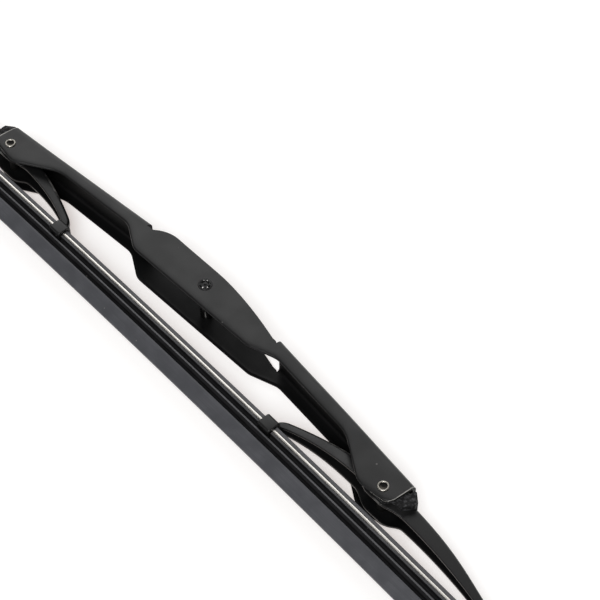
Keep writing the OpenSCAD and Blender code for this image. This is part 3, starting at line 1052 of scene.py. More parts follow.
        near = np.array([0.0, 0.004, 0.012, 0.024, 0.04, 0.06, 0.085, 0.11, 0.14, 0.17, 0.2])
        v = np.concatenate([near, np.linspace(0.25, 0.5, 6), np.linspace(0.6, 0.9, 4), [1.0]])
        x = low_x + v[:, None] * (top_x - low_x)
        y = low_y + v[:, None] * (top_y - low_y)
        for end, cut in ((-1, outline[-middle - 1 :]), (0, outline[middle::-1])):
            true_x = np.interp(y[:, end], cut[:, 1], cut[:, 0])
            near_end = ease(1.0 - np.abs(top_x - top_x[end]) / self.end_blend)
            x = x + near_end * (true_x - x[:, end])[:, None]

        # Painted glint, with some edge wear: the end cuts and the lobe bottoms near the ends take
        # the coat's paler colour.
        edge = np.zeros_like(x)
        edge[:, 0] = edge[:, -1] = 1.0
        edge[0, np.abs(low_x) > self.pivot_x - self.wear_and_glint_from] = 1.0
        off_edge = np.hypot(x - x[:1], y - y[:1])
        z = cheek.value * (self.half_width(top_x) - self.roll(off_edge))
        points = np.stack([x, y, z], axis=-1)
        if cheek is Cheek.FAR:
            points, edge = points[::-1], edge[::-1]
        return Surface.from_grid(points, edge)

    def arm_spine(self, side: Side) -> Surface:
        """Spine of one arm with its two bends: a round-shouldered line carried outwards."""
        a = np.radians(np.linspace(0.0, 90.0, 9))
        r = self.bend_r
        flat = np.linspace(1.0, -1.0, 9)[1:-1]
        h = np.concatenate([r * np.sin(a) - r, np.zeros(len(flat)), r * np.sin(a[::-1]) - r])
        side_share = np.concatenate([np.ones(len(a)), flat, -np.ones(len(a))])
        bend_z = np.concatenate([r * np.cos(a), 0.0 * flat, -r * np.cos(a[::-1])])
        u = crowded(self.arm_columns, self.crowding)
        x, y = self.arm_point(side, u[None, :], h[:, None])
        z = side_share[:, None] * (self.half_width(x[0]) - r) + bend_z[:, None]
        points = np.stack([side.value * x, y, z], axis=-1)
        edge = np.zeros_like(x)
        # Painted glint along the spine's end cut.
        edge[:, -1] = 1.0
        if side is Side.LEFT:
            points, edge = points[:, ::-1], edge[:, ::-1]
        return Surface.from_grid(points, edge)

    def build(self) -> None:
        """Welds the walls and spines, gives the sheet its thickness, rounds its edges."""
        parts = [self.wall(Cheek.NEAR), self.wall(Cheek.FAR)]
        parts += [self.arm_spine(Side.LEFT), self.arm_spine(Side.RIGHT)]
        materials = [BRIDGE_COAT.material(), SHADED_INNER_COAT.material()]
        piece = Surface.joined(parts).as_object("bridge_channel", materials)
        thicken = piece.modifiers.new("sheet", "SOLIDIFY")
        thicken.thickness = self.sheet * MM
        thicken.offset = -1.0
        thicken.use_even_offset = True
        # The inner faces and cut rims take the darker inner coat, as painted shade.
        thicken.material_offset = thicken.material_offset_rim = 1
        add_bevel(piece, self.cut_r, 2, 50.0)
        settle(piece, Body.FRAME, ["primary_bridge"])


# ---------------------------------------------------------------------------
# Pins and rivets
# ---------------------------------------------------------------------------


def lathe(profile: Array, centre: tuple[float, float], steps: int) -> Array:
    """Turns a profile about an axis along Z.

    Each row is the profile at one angle: x = centre + radius cos, y = centre + radius
    sin, and z stays.

    Args:
        profile: Rows of radius and z.
        centre: Place of the axis in X and Y.
        steps: Number of angles round.

    Returns:
        Grid of angles, profile points and xyz.
    """
    angle = np.linspace(0.0, 2 * np.pi, steps, endpoint=False)[:, None]
    radius, height = profile[:, 0][None, :], profile[:, 1][None, :]
    return np.stack(
        [
            centre[0] + radius * np.cos(angle),
            centre[1] + radius * np.sin(angle),
            np.broadcast_to(height, (steps, len(profile))),
        ],
        axis=-1,
    )


@dataclass
class CentrePin:
    """Pin between the cheeks, its ends peened into a flange with a staked boss."""

    shaft_d: float = 4.2
    head_d: float = 4.5
    head_h: float = 0.4
    flange_h: float = 0.13
    crest_r: float = 1.38
    # Four painted glints on each head and a painted reflection streak on the shaft.
    glint_r: float = 1.5
    shaft_sheen_angle: float = math.radians(308.0)
    glint_size: float = 0.3
    cheek_half: float = 7.9
    gap: float = 0.03
    neck: float = 1.3
    crest_w: float = 0.27
    groove_depth: float = 0.9
    boss_share: float = 0.55
    boss_r: float = 0.38
    shaft_sheen: float = 0.62
    shaft_sheen_width: float = 0.3
    steps: int = 128
    glint_angles: Array = field(default_factory=lambda: np.radians([-12.0, 112.0, 154.0, 292.0]))

    def head_height(self, r: Array, angle: Array) -> Array:
        """Height of a staked head above the cheek, in polar form.

        A thin flange with a rounded edge carries a round crest, as a bell curve round
        the crest's radius. A lower bell stands in the middle of the bowl inside. Four
        grooves, square to each other, cut the crest into lobes.
        """
        rim = self.head_d / 2
        fall = np.clip((r - rim + self.flange_h) / self.flange_h, 0.0, 1.0)
        flange = self.flange_h * np.sqrt(1.0 - fall**2)
        crest = np.exp(-(((r - self.crest_r) / self.crest_w) ** 2))
        groove = ease((np.abs(np.sin(2.0 * angle)) - 0.8) / 0.2)
        groove = groove * self.groove_depth
        middle = self.boss_share * np.exp(-((r / self.boss_r) ** 2))
        return flange + (self.head_h - self.flange_h) * (crest * (1.0 - groove) + middle)

    def painted_glints(self, r: Array, angle: Array) -> Array:
        """Mask of four painted glints on the staked head, as round bells."""
        across = (r * np.cos(angle))[..., None] - self.glint_r * np.cos(self.glint_angles)
        along = (r * np.sin(angle))[..., None] - self.glint_r * np.sin(self.glint_angles)
        return np.exp(-(across**2 + along**2) / self.glint_size**2).max(axis=-1)

    def build(self) -> None:
        """Shaft and both heads as one skin: rings from pole to pole."""
        rim = self.head_d / 2
        r_top = rim * np.concatenate([np.linspace(0.02, 0.92, 40), crowded(9)[1:] * 0.08 + 0.92])
        angle = np.linspace(0.0, 2 * np.pi, self.steps, endpoint=False)[:, None]
        foot = self.cheek_half + self.gap
        top = foot + self.head_height(r_top[None, :], angle)
        near_r = np.concatenate([r_top, [rim, self.shaft_d / 2, self.shaft_d / 2]])
        under = np.array([foot, foot, foot - self.neck])
        near_z = np.concatenate([top, np.broadcast_to(under, (self.steps, 3))], axis=1)
        radius = np.concatenate([near_r, near_r[::-1]])
        height = np.concatenate([near_z, -near_z[:, ::-1]], axis=1)
        points = np.stack([radius * np.cos(angle), radius * np.sin(angle), height], axis=-1)
        # Painted glints on the heads, and a painted reflection streak down one side of the shaft.
        painted_light_mask = self.painted_glints(radius[None, :], angle) * (np.abs(height) > foot)
        turn = (angle - self.shaft_sheen_angle) / self.shaft_sheen_width
        sheen_streak = self.shaft_sheen * np.exp(-(turn**2))
        painted_light_mask = np.where(np.abs(height) < foot - 1.0, sheen_streak, painted_light_mask)
        skin = Surface.from_grid(
            np.transpose(points, (1, 0, 2)), painted_light_mask.T, wrap_cols=True, capped=True
        )
        piece = skin.outward().as_object("centre_pin_staked", [PIN_COAT.material()])
        crease(piece, 60.0)
        settle(piece, Body.FRAME, ["centre_pin"])


@dataclass
class PivotRivet:
    """Tubular rivet whose ends are rolled out into round rims."""

    pivot_x: float = 87.5
    pivot_y: float = -8.95
    outer_d: float = 3.0
    bore_d: float = 2.3
    rim_d: float = 3.45
    rim_h: float = 0.4
    lit_angle: float = math.radians(300.0)
    rim_lift: float = 0.35
    neck: float = 0.8
    glow: float = 0.9
    glow_share: float = 0.97
    wall_half: float = 7.2
    gap: float = 0.03
    steps: int = 72

    def profile(self) -> tuple[Array, list[int]]:
        """Half section from pole to pole, and the material of each of its sides.

        The rim's crown is half an ellipse from the bore to the rim's edge. The bore
        ends in a floor just above the bridge's face, near black as painted shade.
        """
        a = np.radians(np.linspace(180.0, 0.0, 15))
        inner, outer = self.bore_d / 2, self.rim_d / 2
        middle, reach = (inner + outer) / 2, (outer - inner) / 2
        foot = self.wall_half + self.gap
        lift = self.rim_h * self.rim_lift
        crown_r = middle + reach * np.cos(a)
        crown_z = foot + lift + (self.rim_h - lift) * np.sin(a)
        tube = self.outer_d / 2
        bore = np.array([[0.0, foot], [0.35, foot], [0.7, foot], [0.94, foot]])
        half = np.concatenate(
            [
                bore * np.array([inner, 1.0]),
                np.stack([crown_r, crown_z], axis=1),
                [[outer, foot], [tube, foot], [tube, foot - self.neck]],
            ]
        )
        line = np.concatenate([half, half[::-1] * np.array([1.0, -1.0])])
        bare = range(len(bore), len(bore) + len(crown_r))
        count = len(line)
        zones = [int(k not in bare and count - 2 - k not in bare) for k in range(count)]
        return line, zones

    def bore_glow(self, line: Array) -> Array:
        """Mask of the bore's lit side: a cosine round the bore, for each angle's row."""
        angle = np.linspace(0.0, 2 * np.pi, self.steps, endpoint=False)[:, None]
        lit = 0.5 + 0.5 * np.cos(angle - self.lit_angle)
        inside = line[:, 0] < self.bore_d / 2 * self.glow_share
        return self.glow * lit * inside * np.minimum(1.0, line[:, 0] / (self.bore_d / 4))

    def build(self, side: Side) -> None:
        """Turns the section about the pivot on one side."""
        line, zones = self.profile()
        name = side.name.lower()
        grid = lathe(line, (side.value * self.pivot_x, self.pivot_y), self.steps)
        skin = Surface.from_grid(grid, self.bore_glow(line), zones, wrap_rows=True)
        materials = [RIVET_STEEL.material(), RIVET_BORE_SHADE.material()]
        piece = skin.outward().as_object(f"rolled_rivet_{name}", materials)
        crease(piece, 50.0)
        node = f"pivot_rivet_{name}"
        settle(piece, Body.FRAME, [node])


# ---------------------------------------------------------------------------
# Wiping element
# ---------------------------------------------------------------------------


@dataclass
class Bow:
    """The shallow arc that the relaxed rubber and its strips take."""

    drop: float = 17.2
    radius: float = 5850.0

    def height(self, x: Array | float) -> Array:
        """Height of the strips' middle at x."""
        return -self.drop - (self.radius - np.sqrt(self.radius**2 - np.square(x)))

    def place(self, x: Array, h: Array, z: Array) -> Array:
        """Points at height h, square to the arc, above the strips' middle."""
        lean = np.arcsin(x / self.radius)
        flat = np.broadcast_to(z, np.broadcast_shapes(x.shape, h.shape, z.shape))
        return np.stack(
            [x + h * np.sin(lean), self.height(x) + h * np.cos(lean) + 0.0 * flat, flat],
            axis=-1,
        )

    def sweep(self, ring: Array, x: Array) -> Array:
        """Carries a ring of height and z along the arc, one row for each x."""
        return self.place(x[:, None] + 0.0 * ring[:, 0], ring[:, 0][None, :], ring[:, 1][None, :])


@dataclass
class WipingElement:
    """Extruded rubber with a strip of spring steel in the slot on each side."""

    bow: Bow = field(default_factory=Bow)
    length: float = 350.0
    strip_t: float = 0.9
    strip_w: float = 2.25
    strip_half: float = 3.1
    strip_inset: float = 2.0
    strip_play: float = 0.16
    cap_half: float = 2.9
    head_half: float = 2.5
    head_rise: float = 1.6
    web_half: float = 0.75
    shoulder_drop: float = 1.15
    ridge_top: float = 2.5
    ridge_low: float = 3.9
    ridge_half: float = 2.1
    hinge_half: float = 0.4
    body_top: float = 5.1
    body_half: float = 1.9
    lip_drop: float = 9.95
    lip_half: float = 0.35
    slot_gap: float = 0.04
    stations: int = 110
    bend_start: float = 3.0
    cap_low: float = 0.3
    shoulder_mid: float = 0.72
    shoulder_reach: float = 0.42
    ridge_mid: float = 0.45
    ridge_reach: float = 0.46
    ridge_inner: float = 1.6
    inner_claws: dict[Side, float] = field(
        default_factory=lambda: {Side.LEFT: 48.5, Side.RIGHT: 46.0}
    )

    def section(self) -> Array:
        """Closed section of the rubber in height and z, its corners rounded."""
        slot, core = self.strip_t / 2 + self.slot_gap, self.web_half
        half = np.array(
            [
                [self.head_rise, self.cap_half - 0.2, 0.2],
                [self.head_rise - 0.2, self.cap_half, 0.2],
                [slot, self.cap_half, 0.1],
                [slot, core, 0.12],
                [-slot, core, 0.12],
                [-slot, self.head_half, 0.1],
                [-self.shoulder_drop, self.head_half - 0.05, 0.2],
                [-self.shoulder_drop, core, 0.25],
                [-self.ridge_top, core, 0.2],
                [-self.ridge_top - 0.05, self.ridge_half, 0.22],
                [-self.ridge_top - 0.55, self.ridge_half, 0.3],
                [-self.ridge_low, self.ridge_half - 0.45, 0.15],
                [-self.ridge_low, self.hinge_half, 0.2],
                [-self.body_top, self.hinge_half, 0.2],
                [-self.body_top, self.body_half, 0.2],
                [-self.body_top - 0.6, self.body_half, 0.5],
                [-self.lip_drop, self.lip_half, 0.03],
            ]
        )
        other = half[::-1] * np.array([1.0, -1.0, 1.0])
        return fillet(np.concatenate([half, other]), 5, closed=True)

    def half_stations(self, side: Side, length: float) -> Array:
        """Places along one half of the element, from its middle to its end, rising."""
        out = np.linspace(0.0, length / 2, self.stations)
        return out if side is Side.RIGHT else -out[::-1]

    def bend(self, piece: bpy.types.Object, side: Side) -> None:
        """Bakes a half's placement into its mesh; the half doesn't follow its lever."""
        Body.lever(side).value
        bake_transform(piece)

    def finish_half(self, piece: bpy.types.Object, side: Side, node: str) -> None:
        """Gives a half its crisp edges and bakes its placement, in place of its CAD node.

        Args:
            piece: The half.
            side: Which end of the blade it reaches.
            node: The CAD node that it hides.
        """
        crease(piece, 40.0)
        self.bend(piece, side)
        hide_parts(node)
        report(piece)

    def build_rubber(self, side: Side) -> None:
        """One half of the rubber, its lip flanks coated with graphite."""
        ring = self.section()
        height, out = ((ring + np.roll(ring, -1, axis=0)) / 2).T
        lip = height < -self.body_top - 0.05
        cap = height > self.cap_low
        shoulder = np.abs(height + self.shoulder_mid) < self.shoulder_reach
        shoulder &= np.abs(out) > self.web_half
        ridge = np.abs(height + self.ridge_top + self.ridge_mid) < self.ridge_reach
        ridge &= np.abs(out) > self.ridge_inner
        # The cap and ridge faces take the paler rubber as painted highlight, the grooves the
        # near-black rubber as painted shade.
        zones = np.select([lip, cap | ridge, shoulder], [1, 3, 0], 2).tolist()
        grid = self.bow.sweep(ring, self.half_stations(side, self.length))
        skin = Surface.from_grid(grid, zones=zones, wrap_cols=True, capped=True).outward()
        finishes = (HEAD_RUBBER, LIP_GRAPHITE, SHADED_GROOVE_RUBBER, LIT_CREST_RUBBER)
        materials = [finish.material() for finish in finishes]
        piece = skin.as_object(f"rubber_{side.name.lower()}", materials)
        self.finish_half(piece, side, "wiping_rubber")

    def build_strip(self, side: Side, cheek: Cheek) -> None:
        """One half of one steel strip, a flat bar with rolled edges."""
        inner, outer, t = self.strip_half - self.strip_w, self.strip_half, self.strip_t / 2
        top = t - self.strip_play
        corners = np.array(
            [[top, inner, 0.1], [top, outer, 0.12], [-t, outer, 0.34], [-t, inner, 0.1]]
        )
        ring = fillet(corners, 6, closed=True) * np.array([1.0, cheek.value])
        grid = self.bow.sweep(ring, self.half_stations(side, self.length - 2 * self.strip_inset))
        skin = Surface.from_grid(grid, wrap_cols=True, capped=True).outward()
        name = f"strip_{cheek.name.lower()}_{side.name.lower()}"
        piece = skin.as_object(name, [STRIP_STEEL.material()])
        self.finish_half(piece, side, f"vertebra_{cheek.name.lower()}")

    def build(self) -> None:
        """Both halves of the rubber and of the two strips."""
        for side in Side:
            self.build_rubber(side)
            for cheek in Cheek:
                self.build_strip(side, cheek)


# ---------------------------------------------------------------------------
# Levers
# ---------------------------------------------------------------------------


@dataclass
class Lever:
    """Pressed channel lever: ears at the pivot, two bowed arms, and a claw on each."""

    side: Side
    inner_claw_x: float
    bow: Bow = field(default_factory=Bow)
    outer_claw_x: float = 145.0
    sheet: float = 0.9
    pivot_x: float = 87.5
    pivot_y: float = -8.95
    ear_rise: float = 3.85
    ear_drop: float = 3.7
    neck_drop: float = 1.5
    ear_half: float = 5.05
    inner_past: float = 0.4
    outer_short: float = 1.2
    neck_in: float = 9.5
    neck_out: float = 7.5
    under_power: float = 2.3
    top_power: float = 1.8
    ear_flat: float = 2.5
    ear_run: float = 7.5
    flare_flat: float = 4.8
    flare_run: float = 4.7
    roof_rise: float = 0.15
    crest_in: float = 3.0
    crest_out: float = 1.5
    inner_neck_half: float = 4.0
    outer_neck_half: float = 3.55
    inner_tip_half: float = 1.6
    outer_tip_half: float = 1.45
    bend_r: float = 1.3
    nose_len: float = 2.8
    inner_nose: float = 1.9
    outer_nose: float = 0.9
    outer_wave: float = 0.335
    outer_sag: float = 0.135
    claw_len: float = 4.8
    claw_t: float = 0.9
    claw_gap: float = 0.12
    head_rise: float = 1.6
    strip_half: float = 3.1
    shoulder_drop: float = 1.15
    web_half: float = 0.75
    cut_r: float = 0.14
    crown: float = 0.04
    # Painted highlights, with faint edge wear: at the ears' lower edge, along the inner arm's bend
    # and on the claw ends.
    ear_highlight_x: float = 89.0
    ear_highlight_reach: float = 2.6
    ear_painted_highlight: float = 0.5
    lit_x: float = 66.5
    lit_reach: float = 7.0
    bend_painted_highlight: float = 0.6
    inner_wear_and_highlight: float = 0.12
    outer_wear_and_highlight: float = 0.05
    claw_wear_and_highlight: float = 0.26
    claw_cut_r: float = 0.2
    finger_t: float = 0.75
    finger_reach: float = 0.5
    stations: int = 170

    @property
    def inner_end(self) -> float:
        """Distance of the inner arm's tip from the centre pin."""
        return self.inner_claw_x + self.inner_past

    @property
    def outer_end(self) -> float:
        """Distance of the outer arm's tip from the centre pin."""
        return self.outer_claw_x - self.outer_short

    def tip_y(self, x: float) -> float:
        """Height of the underside where an arm meets the roof of its claw."""
        return float(self.bow.height(x)) + self.head_rise + self.claw_gap + self.claw_t * 0.3

    def underside(self, x: Array) -> Array:
        """Height of the sides' lower edge: power curves in the arms, deeper at the ears."""
        side_y = self.pivot_y - self.neck_drop
        neck_in, neck_out = self.pivot_x - self.neck_in, self.pivot_x + self.neck_out
        inward = np.clip((neck_in - x) / (neck_in - self.inner_end), 0.0, None)
        outward = np.clip((x - neck_out) / (self.outer_end - neck_out), 0.0, None)
        base = (
            side_y
            - (side_y - self.tip_y(self.inner_claw_x)) * inward**self.under_power
            - (side_y - self.tip_y(self.outer_claw_x)) * outward**2
        )
        ear = 1.0 - ease((np.abs(x - self.pivot_x) - self.ear_flat) / self.ear_run)
        return base - (self.ear_drop - self.neck_drop) * ear

    def top(self, x: Array) -> Array:
        """Height of the spine: a flat crest, power curves down the arms, round noses."""
        crest = self.pivot_y + self.ear_rise
        lift = self.sheet + self.roof_rise
        in_drop = crest - self.tip_y(self.inner_claw_x) - lift - self.inner_nose
        out_drop = crest - self.tip_y(self.outer_claw_x) - lift - self.outer_nose
        crest_in, crest_out = self.pivot_x - self.crest_in, self.pivot_x + self.crest_out
        inward = np.clip((crest_in - x) / (crest_in - self.inner_end), 0.0, None)
        outward = np.clip((x - crest_out) / (self.outer_end - crest_out), 0.0, None)
        near_in = np.clip(1.0 - (x - self.inner_end) / self.nose_len, 0.0, 1.0)
        near_out = np.clip(1.0 - (self.outer_end - x) / self.nose_len, 0.0, 1.0)
        return (
            crest
            - in_drop * inward**self.top_power
            - out_drop * outward**2
            + self.outer_wave * np.sin(2.0 * np.pi * outward)
            - self.outer_sag * np.sin(2.0 * np.pi * outward) ** 2
            - self.inner_nose * (1.0 - np.sqrt(1.0 - near_in**2))
            - self.outer_nose * (1.0 - np.sqrt(1.0 - near_out**2))
        )

    def half_width(self, x: Array) -> Array:
        """Half the width: straight tapers in plan, easing out to the ears."""
        neck_in, neck_out = self.pivot_x - self.neck_in, self.pivot_x + self.neck_out
        share_in = np.clip((x - self.inner_end) / (neck_in - self.inner_end), 0.0, 1.0)
        share_out = np.clip((self.outer_end - x) / (self.outer_end - neck_out), 0.0, 1.0)
        inner = self.inner_tip_half + (self.inner_neck_half - self.inner_tip_half) * share_in
        outer = self.outer_tip_half + (self.outer_neck_half - self.outer_tip_half) * share_out
        arm = np.where(x < self.pivot_x, inner, outer)
        out = 1.0 - ease((np.abs(x - self.pivot_x) - self.flare_flat) / self.flare_run)
        return arm + (self.ear_half - arm) * out

    def channel(self) -> Surface:
        """Channel of the whole lever: a closed round-shouldered ring for each station.

        Each half ring runs up the outer side, round the bend and along the top, and
        the inner skin runs back one sheet thickness inside it. The cut edges between
        them are rounded.
        """
        t = crowded(self.stations, 0.45)
        x = (self.inner_end + (self.outer_end - self.inner_end) * t)[:, None]
        top, low, w = self.top(x), self.underside(x), self.half_width(x)
        r = np.minimum(np.minimum(self.bend_r, 0.7 * w), 0.8 * (top - low))
        inner_r = np.minimum(np.maximum(0.12, r - self.sheet), 0.7 * (top - self.sheet - low))
        inner_w, inner_top = w - self.sheet, top - self.sheet
        bend = np.radians(np.linspace(0.0, 90.0, 8))[None, :]
        cut = np.radians(np.linspace(0.0, 90.0, 4))[None, :]
        back, q, middle = bend[:, ::-1], self.cut_r, 0.0 * x
        straight = low + q + np.minimum(0.45, 0.3 * (top - low))
        shoulder_y = top - r + r * np.sin(bend)
        outer_y = np.hstack([low + q - q * np.cos(cut), straight, shoulder_y, top + self.crown])
        outer_z = np.hstack([w - q + q * np.sin(cut), w, w - r + r * np.cos(bend), middle])
        hollow_y = inner_top - inner_r + inner_r * np.sin(back)
        hollow_z = inner_w - inner_r + inner_r * np.cos(back)
        inner_y = np.hstack([inner_top, hollow_y, straight, low + q - q * np.sin(cut)])
        inner_z = np.hstack([middle, hollow_z, inner_w, inner_w + q - q * np.cos(cut)])

        ring_y = np.hstack([outer_y, outer_y[:, -2::-1], inner_y[:, :0:-1], inner_y])
        ring_z = np.hstack([outer_z, -outer_z[:, -2::-1], -inner_z[:, :0:-1], inner_z])
        n_out = outer_y.shape[1]
        lower_edge = np.zeros(ring_y.shape[1])
        lower_edge[:4] = lower_edge[2 * n_out - 5 : 2 * n_out + 3] = 1.0
        lower_edge[-4:] = 1.0
        points = np.stack([np.broadcast_to(x, ring_y.shape), ring_y, ring_z], axis=-1)
        bend_line = np.zeros(ring_y.shape[1])
        bend_line[6:11] = (0.3, 1.0, 1.0, 1.0, 0.5)
        # Painted highlight with faint edge wear on the lower cut edges, strongest at the ears
        # (rubbed here is painted highlight), and a painted highlight along the inner arm's top
        # bend.
        faint = np.where(x < self.pivot_x, self.inner_wear_and_highlight, self.outer_wear_and_highlight)
        rubbed = np.exp(-(((x - self.ear_highlight_x) / self.ear_highlight_reach) ** 2))
        lit = np.exp(-(((x - self.lit_x) / self.lit_reach) ** 2))
        edge = lower_edge * (faint + self.ear_painted_highlight * rubbed)
        edge = edge + bend_line * self.bend_painted_highlight * lit
        # The inner skin takes the darker inner coat, as painted shade.
        ring_end = 2 * n_out - 1
        zones = [int(ring_end <= k < ring_y.shape[1] - 1) for k in range(ring_y.shape[1])]
        return Surface.from_grid(points, edge, zones, wrap_cols=True, capped=True).outward()

    def claw(self, x: float) -> Surface:
        """Claw round the rubber's head: a C-shaped ring carried along the blade.

        The ring is drawn in along its own normals at both ends, by a quarter round.

        Args:
            x: Distance of the claw's middle from the centre pin.

        Returns:
            The closed claw.
        """
        inner, roof_in = self.strip_half + self.claw_gap, self.head_rise + self.claw_gap
        outer, roof = inner + self.claw_t, roof_in + self.claw_t
        finger_top = -self.shoulder_drop - self.claw_gap
        finger_low = finger_top - self.finger_t
        finger_tip = self.web_half + self.finger_reach
        half = np.array(
            [
                [finger_low, finger_tip, 0.22],
                [finger_low, outer, 0.7],
                [roof, outer, 1.1],
            ]
        )
        inside = np.array(
            [
                [finger_top, finger_tip, 0.15],
                [finger_top, inner, 0.1],
                [roof_in, inner, 0.4],
            ]
        )
        flip = np.array([1.0, -1.0, 1.0])
        ring = fillet(
            np.concatenate([half, half[::-1] * flip, inside * flip, inside[::-1]]), 6, closed=True
        )
        normals = ring_normals(ring)
        a = np.radians(np.linspace(0.0, 90.0, 5))
        q = self.claw_cut_r
        inset = np.concatenate([q * (1.0 - np.sin(a)), q * (1.0 - np.sin(a[::-1]))])
        reach = self.claw_len / 2
        round_off = q * (1.0 - np.cos(a))
        along = np.concatenate([-reach + round_off, reach - round_off[::-1]])
        rows = ring[None, :, :] - inset[:, None, None] * normals[None, :, :]
        lean = math.asin(x / self.bow.radius)
        h, z = rows[..., 0], rows[..., 1]
        placed_x = x + along[:, None] * math.cos(lean) + h * math.sin(lean)
        placed_y = float(self.bow.height(x)) - along[:, None] * math.sin(lean) + h * math.cos(lean)
        # Painted highlight with some edge wear on the claw's rounded ends.
        edge = self.claw_wear_and_highlight * np.broadcast_to((inset / q)[:, None], h.shape)
        points = np.stack([placed_x, placed_y, z], axis=-1)
        return Surface.from_grid(points, edge, wrap_cols=True, capped=True).outward()

    def build(self) -> None:
        """Joins the channel and its two claws into the lever."""
        parts = [self.channel(), self.claw(self.inner_claw_x), self.claw(self.outer_claw_x)]
        skin = Surface.joined(parts)
        if self.side is Side.LEFT:
            skin = skin.mirrored()
        name = self.side.name.lower()
        materials = [LEVER_COAT.material(), SHADED_INNER_COAT.material()]
        piece = skin.as_object(f"claw_lever_{name}", materials)
        crease(piece, 45.0)
        node = f"lever_{name}"
        settle(piece, Body.lever(self.side), [node])


@dataclass
class PivotLiner:
    """Moulded liner between a lever's ears and the bridge, with a collar outside."""

    side: Side

    def build(self) -> None:
        """Merges a copy of the CAD liner and rounds its edges."""
        name = self.side.name.lower()
        node = f"pivot_liner_{name}"
        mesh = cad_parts[node].data.copy()
        mesh.name = f"moulded_liner_{name}"
        mesh.materials.clear()
        mesh.materials.append(LINER_PLASTIC.material())
        weld(mesh, 5e-6)
        mesh.shade_smooth()
        piece = bpy.data.objects.new(mesh.name, mesh)
        bpy.context.scene.collection.objects.link(piece)
        crease(piece, 30.0)
        add_bevel(piece, 0.14, 2, 35.0)
        settle(piece, Body.lever(self.side), [node])


def settle(
    piece: bpy.types.Object, body: Body, nodes: Sequence[str]
) -> None:
    """Puts a finished piece on its body in place of its CAD nodes.

    Args:
        piece: The piece.
        body: The body that it rides on.
        nodes: The CAD nodes that it stands for.
    """
    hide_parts(*nodes)
    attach(piece, body.value)
    report(piece)


def report(piece: bpy.types.Object) -> None:
    """Logs a piece's size and number of faces."""
    corners = np.array([v[:] for v in piece.bound_box]) / MM
    low, high = corners.min(0), corners.max(0)
    log.info(
        "%s: %d faces, x %.2f to %.2f, y %.2f to %.2f, z %.2f to %.2f mm",
        piece.name,
        len(piece.data.polygons),
        *[value for pair in zip(low, high) for value in pair],
    )


# ---------------------------------------------------------------------------
# Studio
# ---------------------------------------------------------------------------


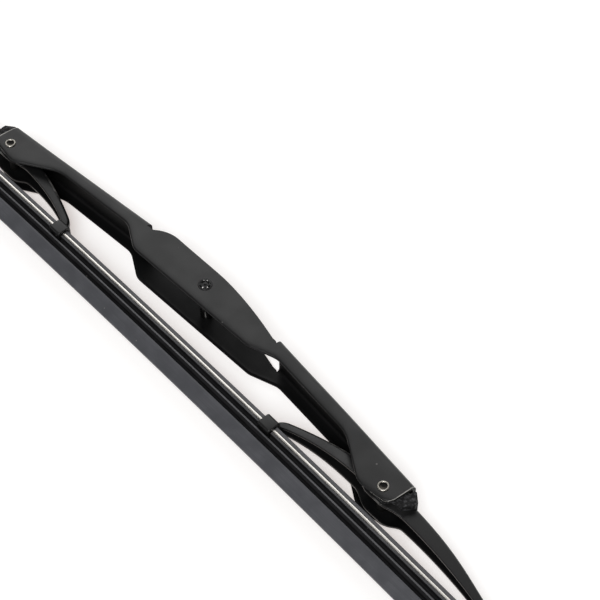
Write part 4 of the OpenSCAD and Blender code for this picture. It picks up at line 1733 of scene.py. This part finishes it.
@dataclass
class Studio:
    """Pale floor, soft light from above, and the camera at the photograph's place."""

    azimuth: float = 47.979
    elevation: float = 52.145
    distance: float = 527.287
    target: tuple[float, float, float] = (19.148, 21.460, 0.109)
    lens: float = 103.12
    sensor: float = 36.0
    floor_colour: Colour = (0.93, 0.925, 0.922)
    seen_colour: Colour = (0.53, 0.58, 0.6)
    glow_colour: Colour = (0.555, 0.5, 0.475)
    floor_half: float = 30.0
    world_level: float = 0.15

    def camera(self) -> None:
        """Aims the camera at the target from the given azimuth and elevation."""
        a, e = math.radians(self.azimuth), math.radians(self.elevation)
        back = Vector((math.sin(a) * math.cos(e), -math.cos(a) * math.cos(e), math.sin(e)))
        right = Vector((math.cos(a), math.sin(a), 0.0))
        up = back.cross(right)
        data = bpy.data.cameras.new("camera")
        data.lens, data.sensor_width = self.lens, self.sensor
        data.clip_start, data.clip_end = 0.01, 20.0
        eye = bpy.data.objects.new("camera", data)
        turn = Matrix((right, up, back)).transposed().to_4x4()
        place = (Vector(self.target) + back * self.distance) * MM
        eye.matrix_world = Matrix.Translation(place) @ turn
        bpy.context.scene.collection.objects.link(eye)
        bpy.context.scene.camera = eye

    def floor(self, level: float) -> None:
        """Flat pale floor under the part.

        To the eye and in gloss it glows a little, as a sheet lit from below does. So
        its bare parts are white, and the part's shadow on it stays soft and warm.

        Args:
            level: Height of the floor, in metres.
        """
        s = self.floor_half
        mesh = bpy.data.meshes.new("floor")
        mesh.from_pydata(
            [(-s, -s, level), (s, -s, level), (s, s, level), (-s, s, level)], [], [(0, 1, 2, 3)]
        )
        material = bpy.data.materials.new("pale_floor")
        material.use_nodes = True
        tree = material.node_tree
        tree.nodes.clear()
        matt = put(tree, "ShaderNodeBsdfDiffuse", {"Color": opaque(self.floor_colour)})
        seen = put(tree, "ShaderNodeBsdfDiffuse", {"Color": opaque(self.seen_colour)})
        glow = put(tree, "ShaderNodeEmission", {"Color": opaque(self.glow_colour)})
        lit = put(tree, "ShaderNodeAddShader", {0: seen.outputs[0], 1: glow.outputs[0]})
        path = tree.nodes.new("ShaderNodeLightPath").outputs
        view = math_node(tree, "MAXIMUM", path["Is Camera Ray"], path["Is Glossy Ray"])
        view = math_node(tree, "MAXIMUM", view, path["Is Transmission Ray"])
        both = put(
            tree, "ShaderNodeMixShader", {0: view, 1: matt.outputs[0], 2: lit.outputs[0]}
        )
        out = tree.nodes.new("ShaderNodeOutputMaterial")
        tree.links.new(both.outputs[0], out.inputs["Surface"])
        mesh.materials.append(material)
        floor = bpy.data.objects.new("floor", mesh)
        bpy.context.scene.collection.objects.link(floor)
        floor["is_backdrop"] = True

    def world(self) -> None:
        """Even white surroundings, dim enough to leave most of the light to the lamps."""
        world = bpy.data.worlds.new("studio")
        world.use_nodes = True
        tree = world.node_tree
        tree.nodes.clear()
        sky = put(
            tree,
            "ShaderNodeBackground",
            {"Color": (1.0, 1.0, 1.0, 1.0), "Strength": self.world_level},
        )
        out = tree.nodes.new("ShaderNodeOutputWorld")
        tree.links.new(sky.outputs[0], out.inputs["Surface"])
        bpy.context.scene.world = world

    def lamp(
        self, name: str, place: tuple[float, float, float], width: float, level: float
    ) -> None:
        """Wide soft lamp, even over the whole floor.

        Args:
            name: Name of the lamp.
            place: Direction that it shines from.
            width: Angle that it spans in the sky, in degrees.
            level: Its light on a surface that faces it.
        """
        data = bpy.data.lights.new(name, "SUN")
        data.energy = level
        data.angle = math.radians(width)
        lamp = bpy.data.objects.new(name, data)
        lamp.location = place
        lamp.rotation_mode = "QUATERNION"
        lamp.rotation_quaternion = Vector(place).to_track_quat("Z", "Y")
        bpy.context.scene.collection.objects.link(lamp)

    def build(self, floor_level: float) -> None:
        """Sets the camera, floor, world and lamps, and the plain view transform."""
        self.camera()
        self.floor(floor_level)
        self.world()
        self.lamp("rear_softbox", (-0.6, 0.33, 0.73), 46.0, 0.62)
        self.lamp("back_softbox", (-0.456, 0.75, 0.48), 50.0, 0.5)
        self.lamp("front_softbox", (0.36, -0.47, 0.8), 32.0, 2.7)
        bpy.context.scene.view_settings.view_transform = "Standard"


def main() -> None:
    """Builds the blade's pieces in order, then the studio."""
    logging.basicConfig(level=logging.INFO, format="%(name)s: %(message)s")
    cad_low, cad_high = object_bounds()
    Bridge().build()
    CentrePin().build()
    WipingElement().build()
    for side, claw_x in ((Side.LEFT, 51.0), (Side.RIGHT, 48.5)):
        Lever(side, claw_x).build()
        PivotLiner(side).build()
        PivotRivet().build(side)
    Studio().build(cad_low.z)
    log.info("sizes written")


if __name__ == "__main__":
    main()
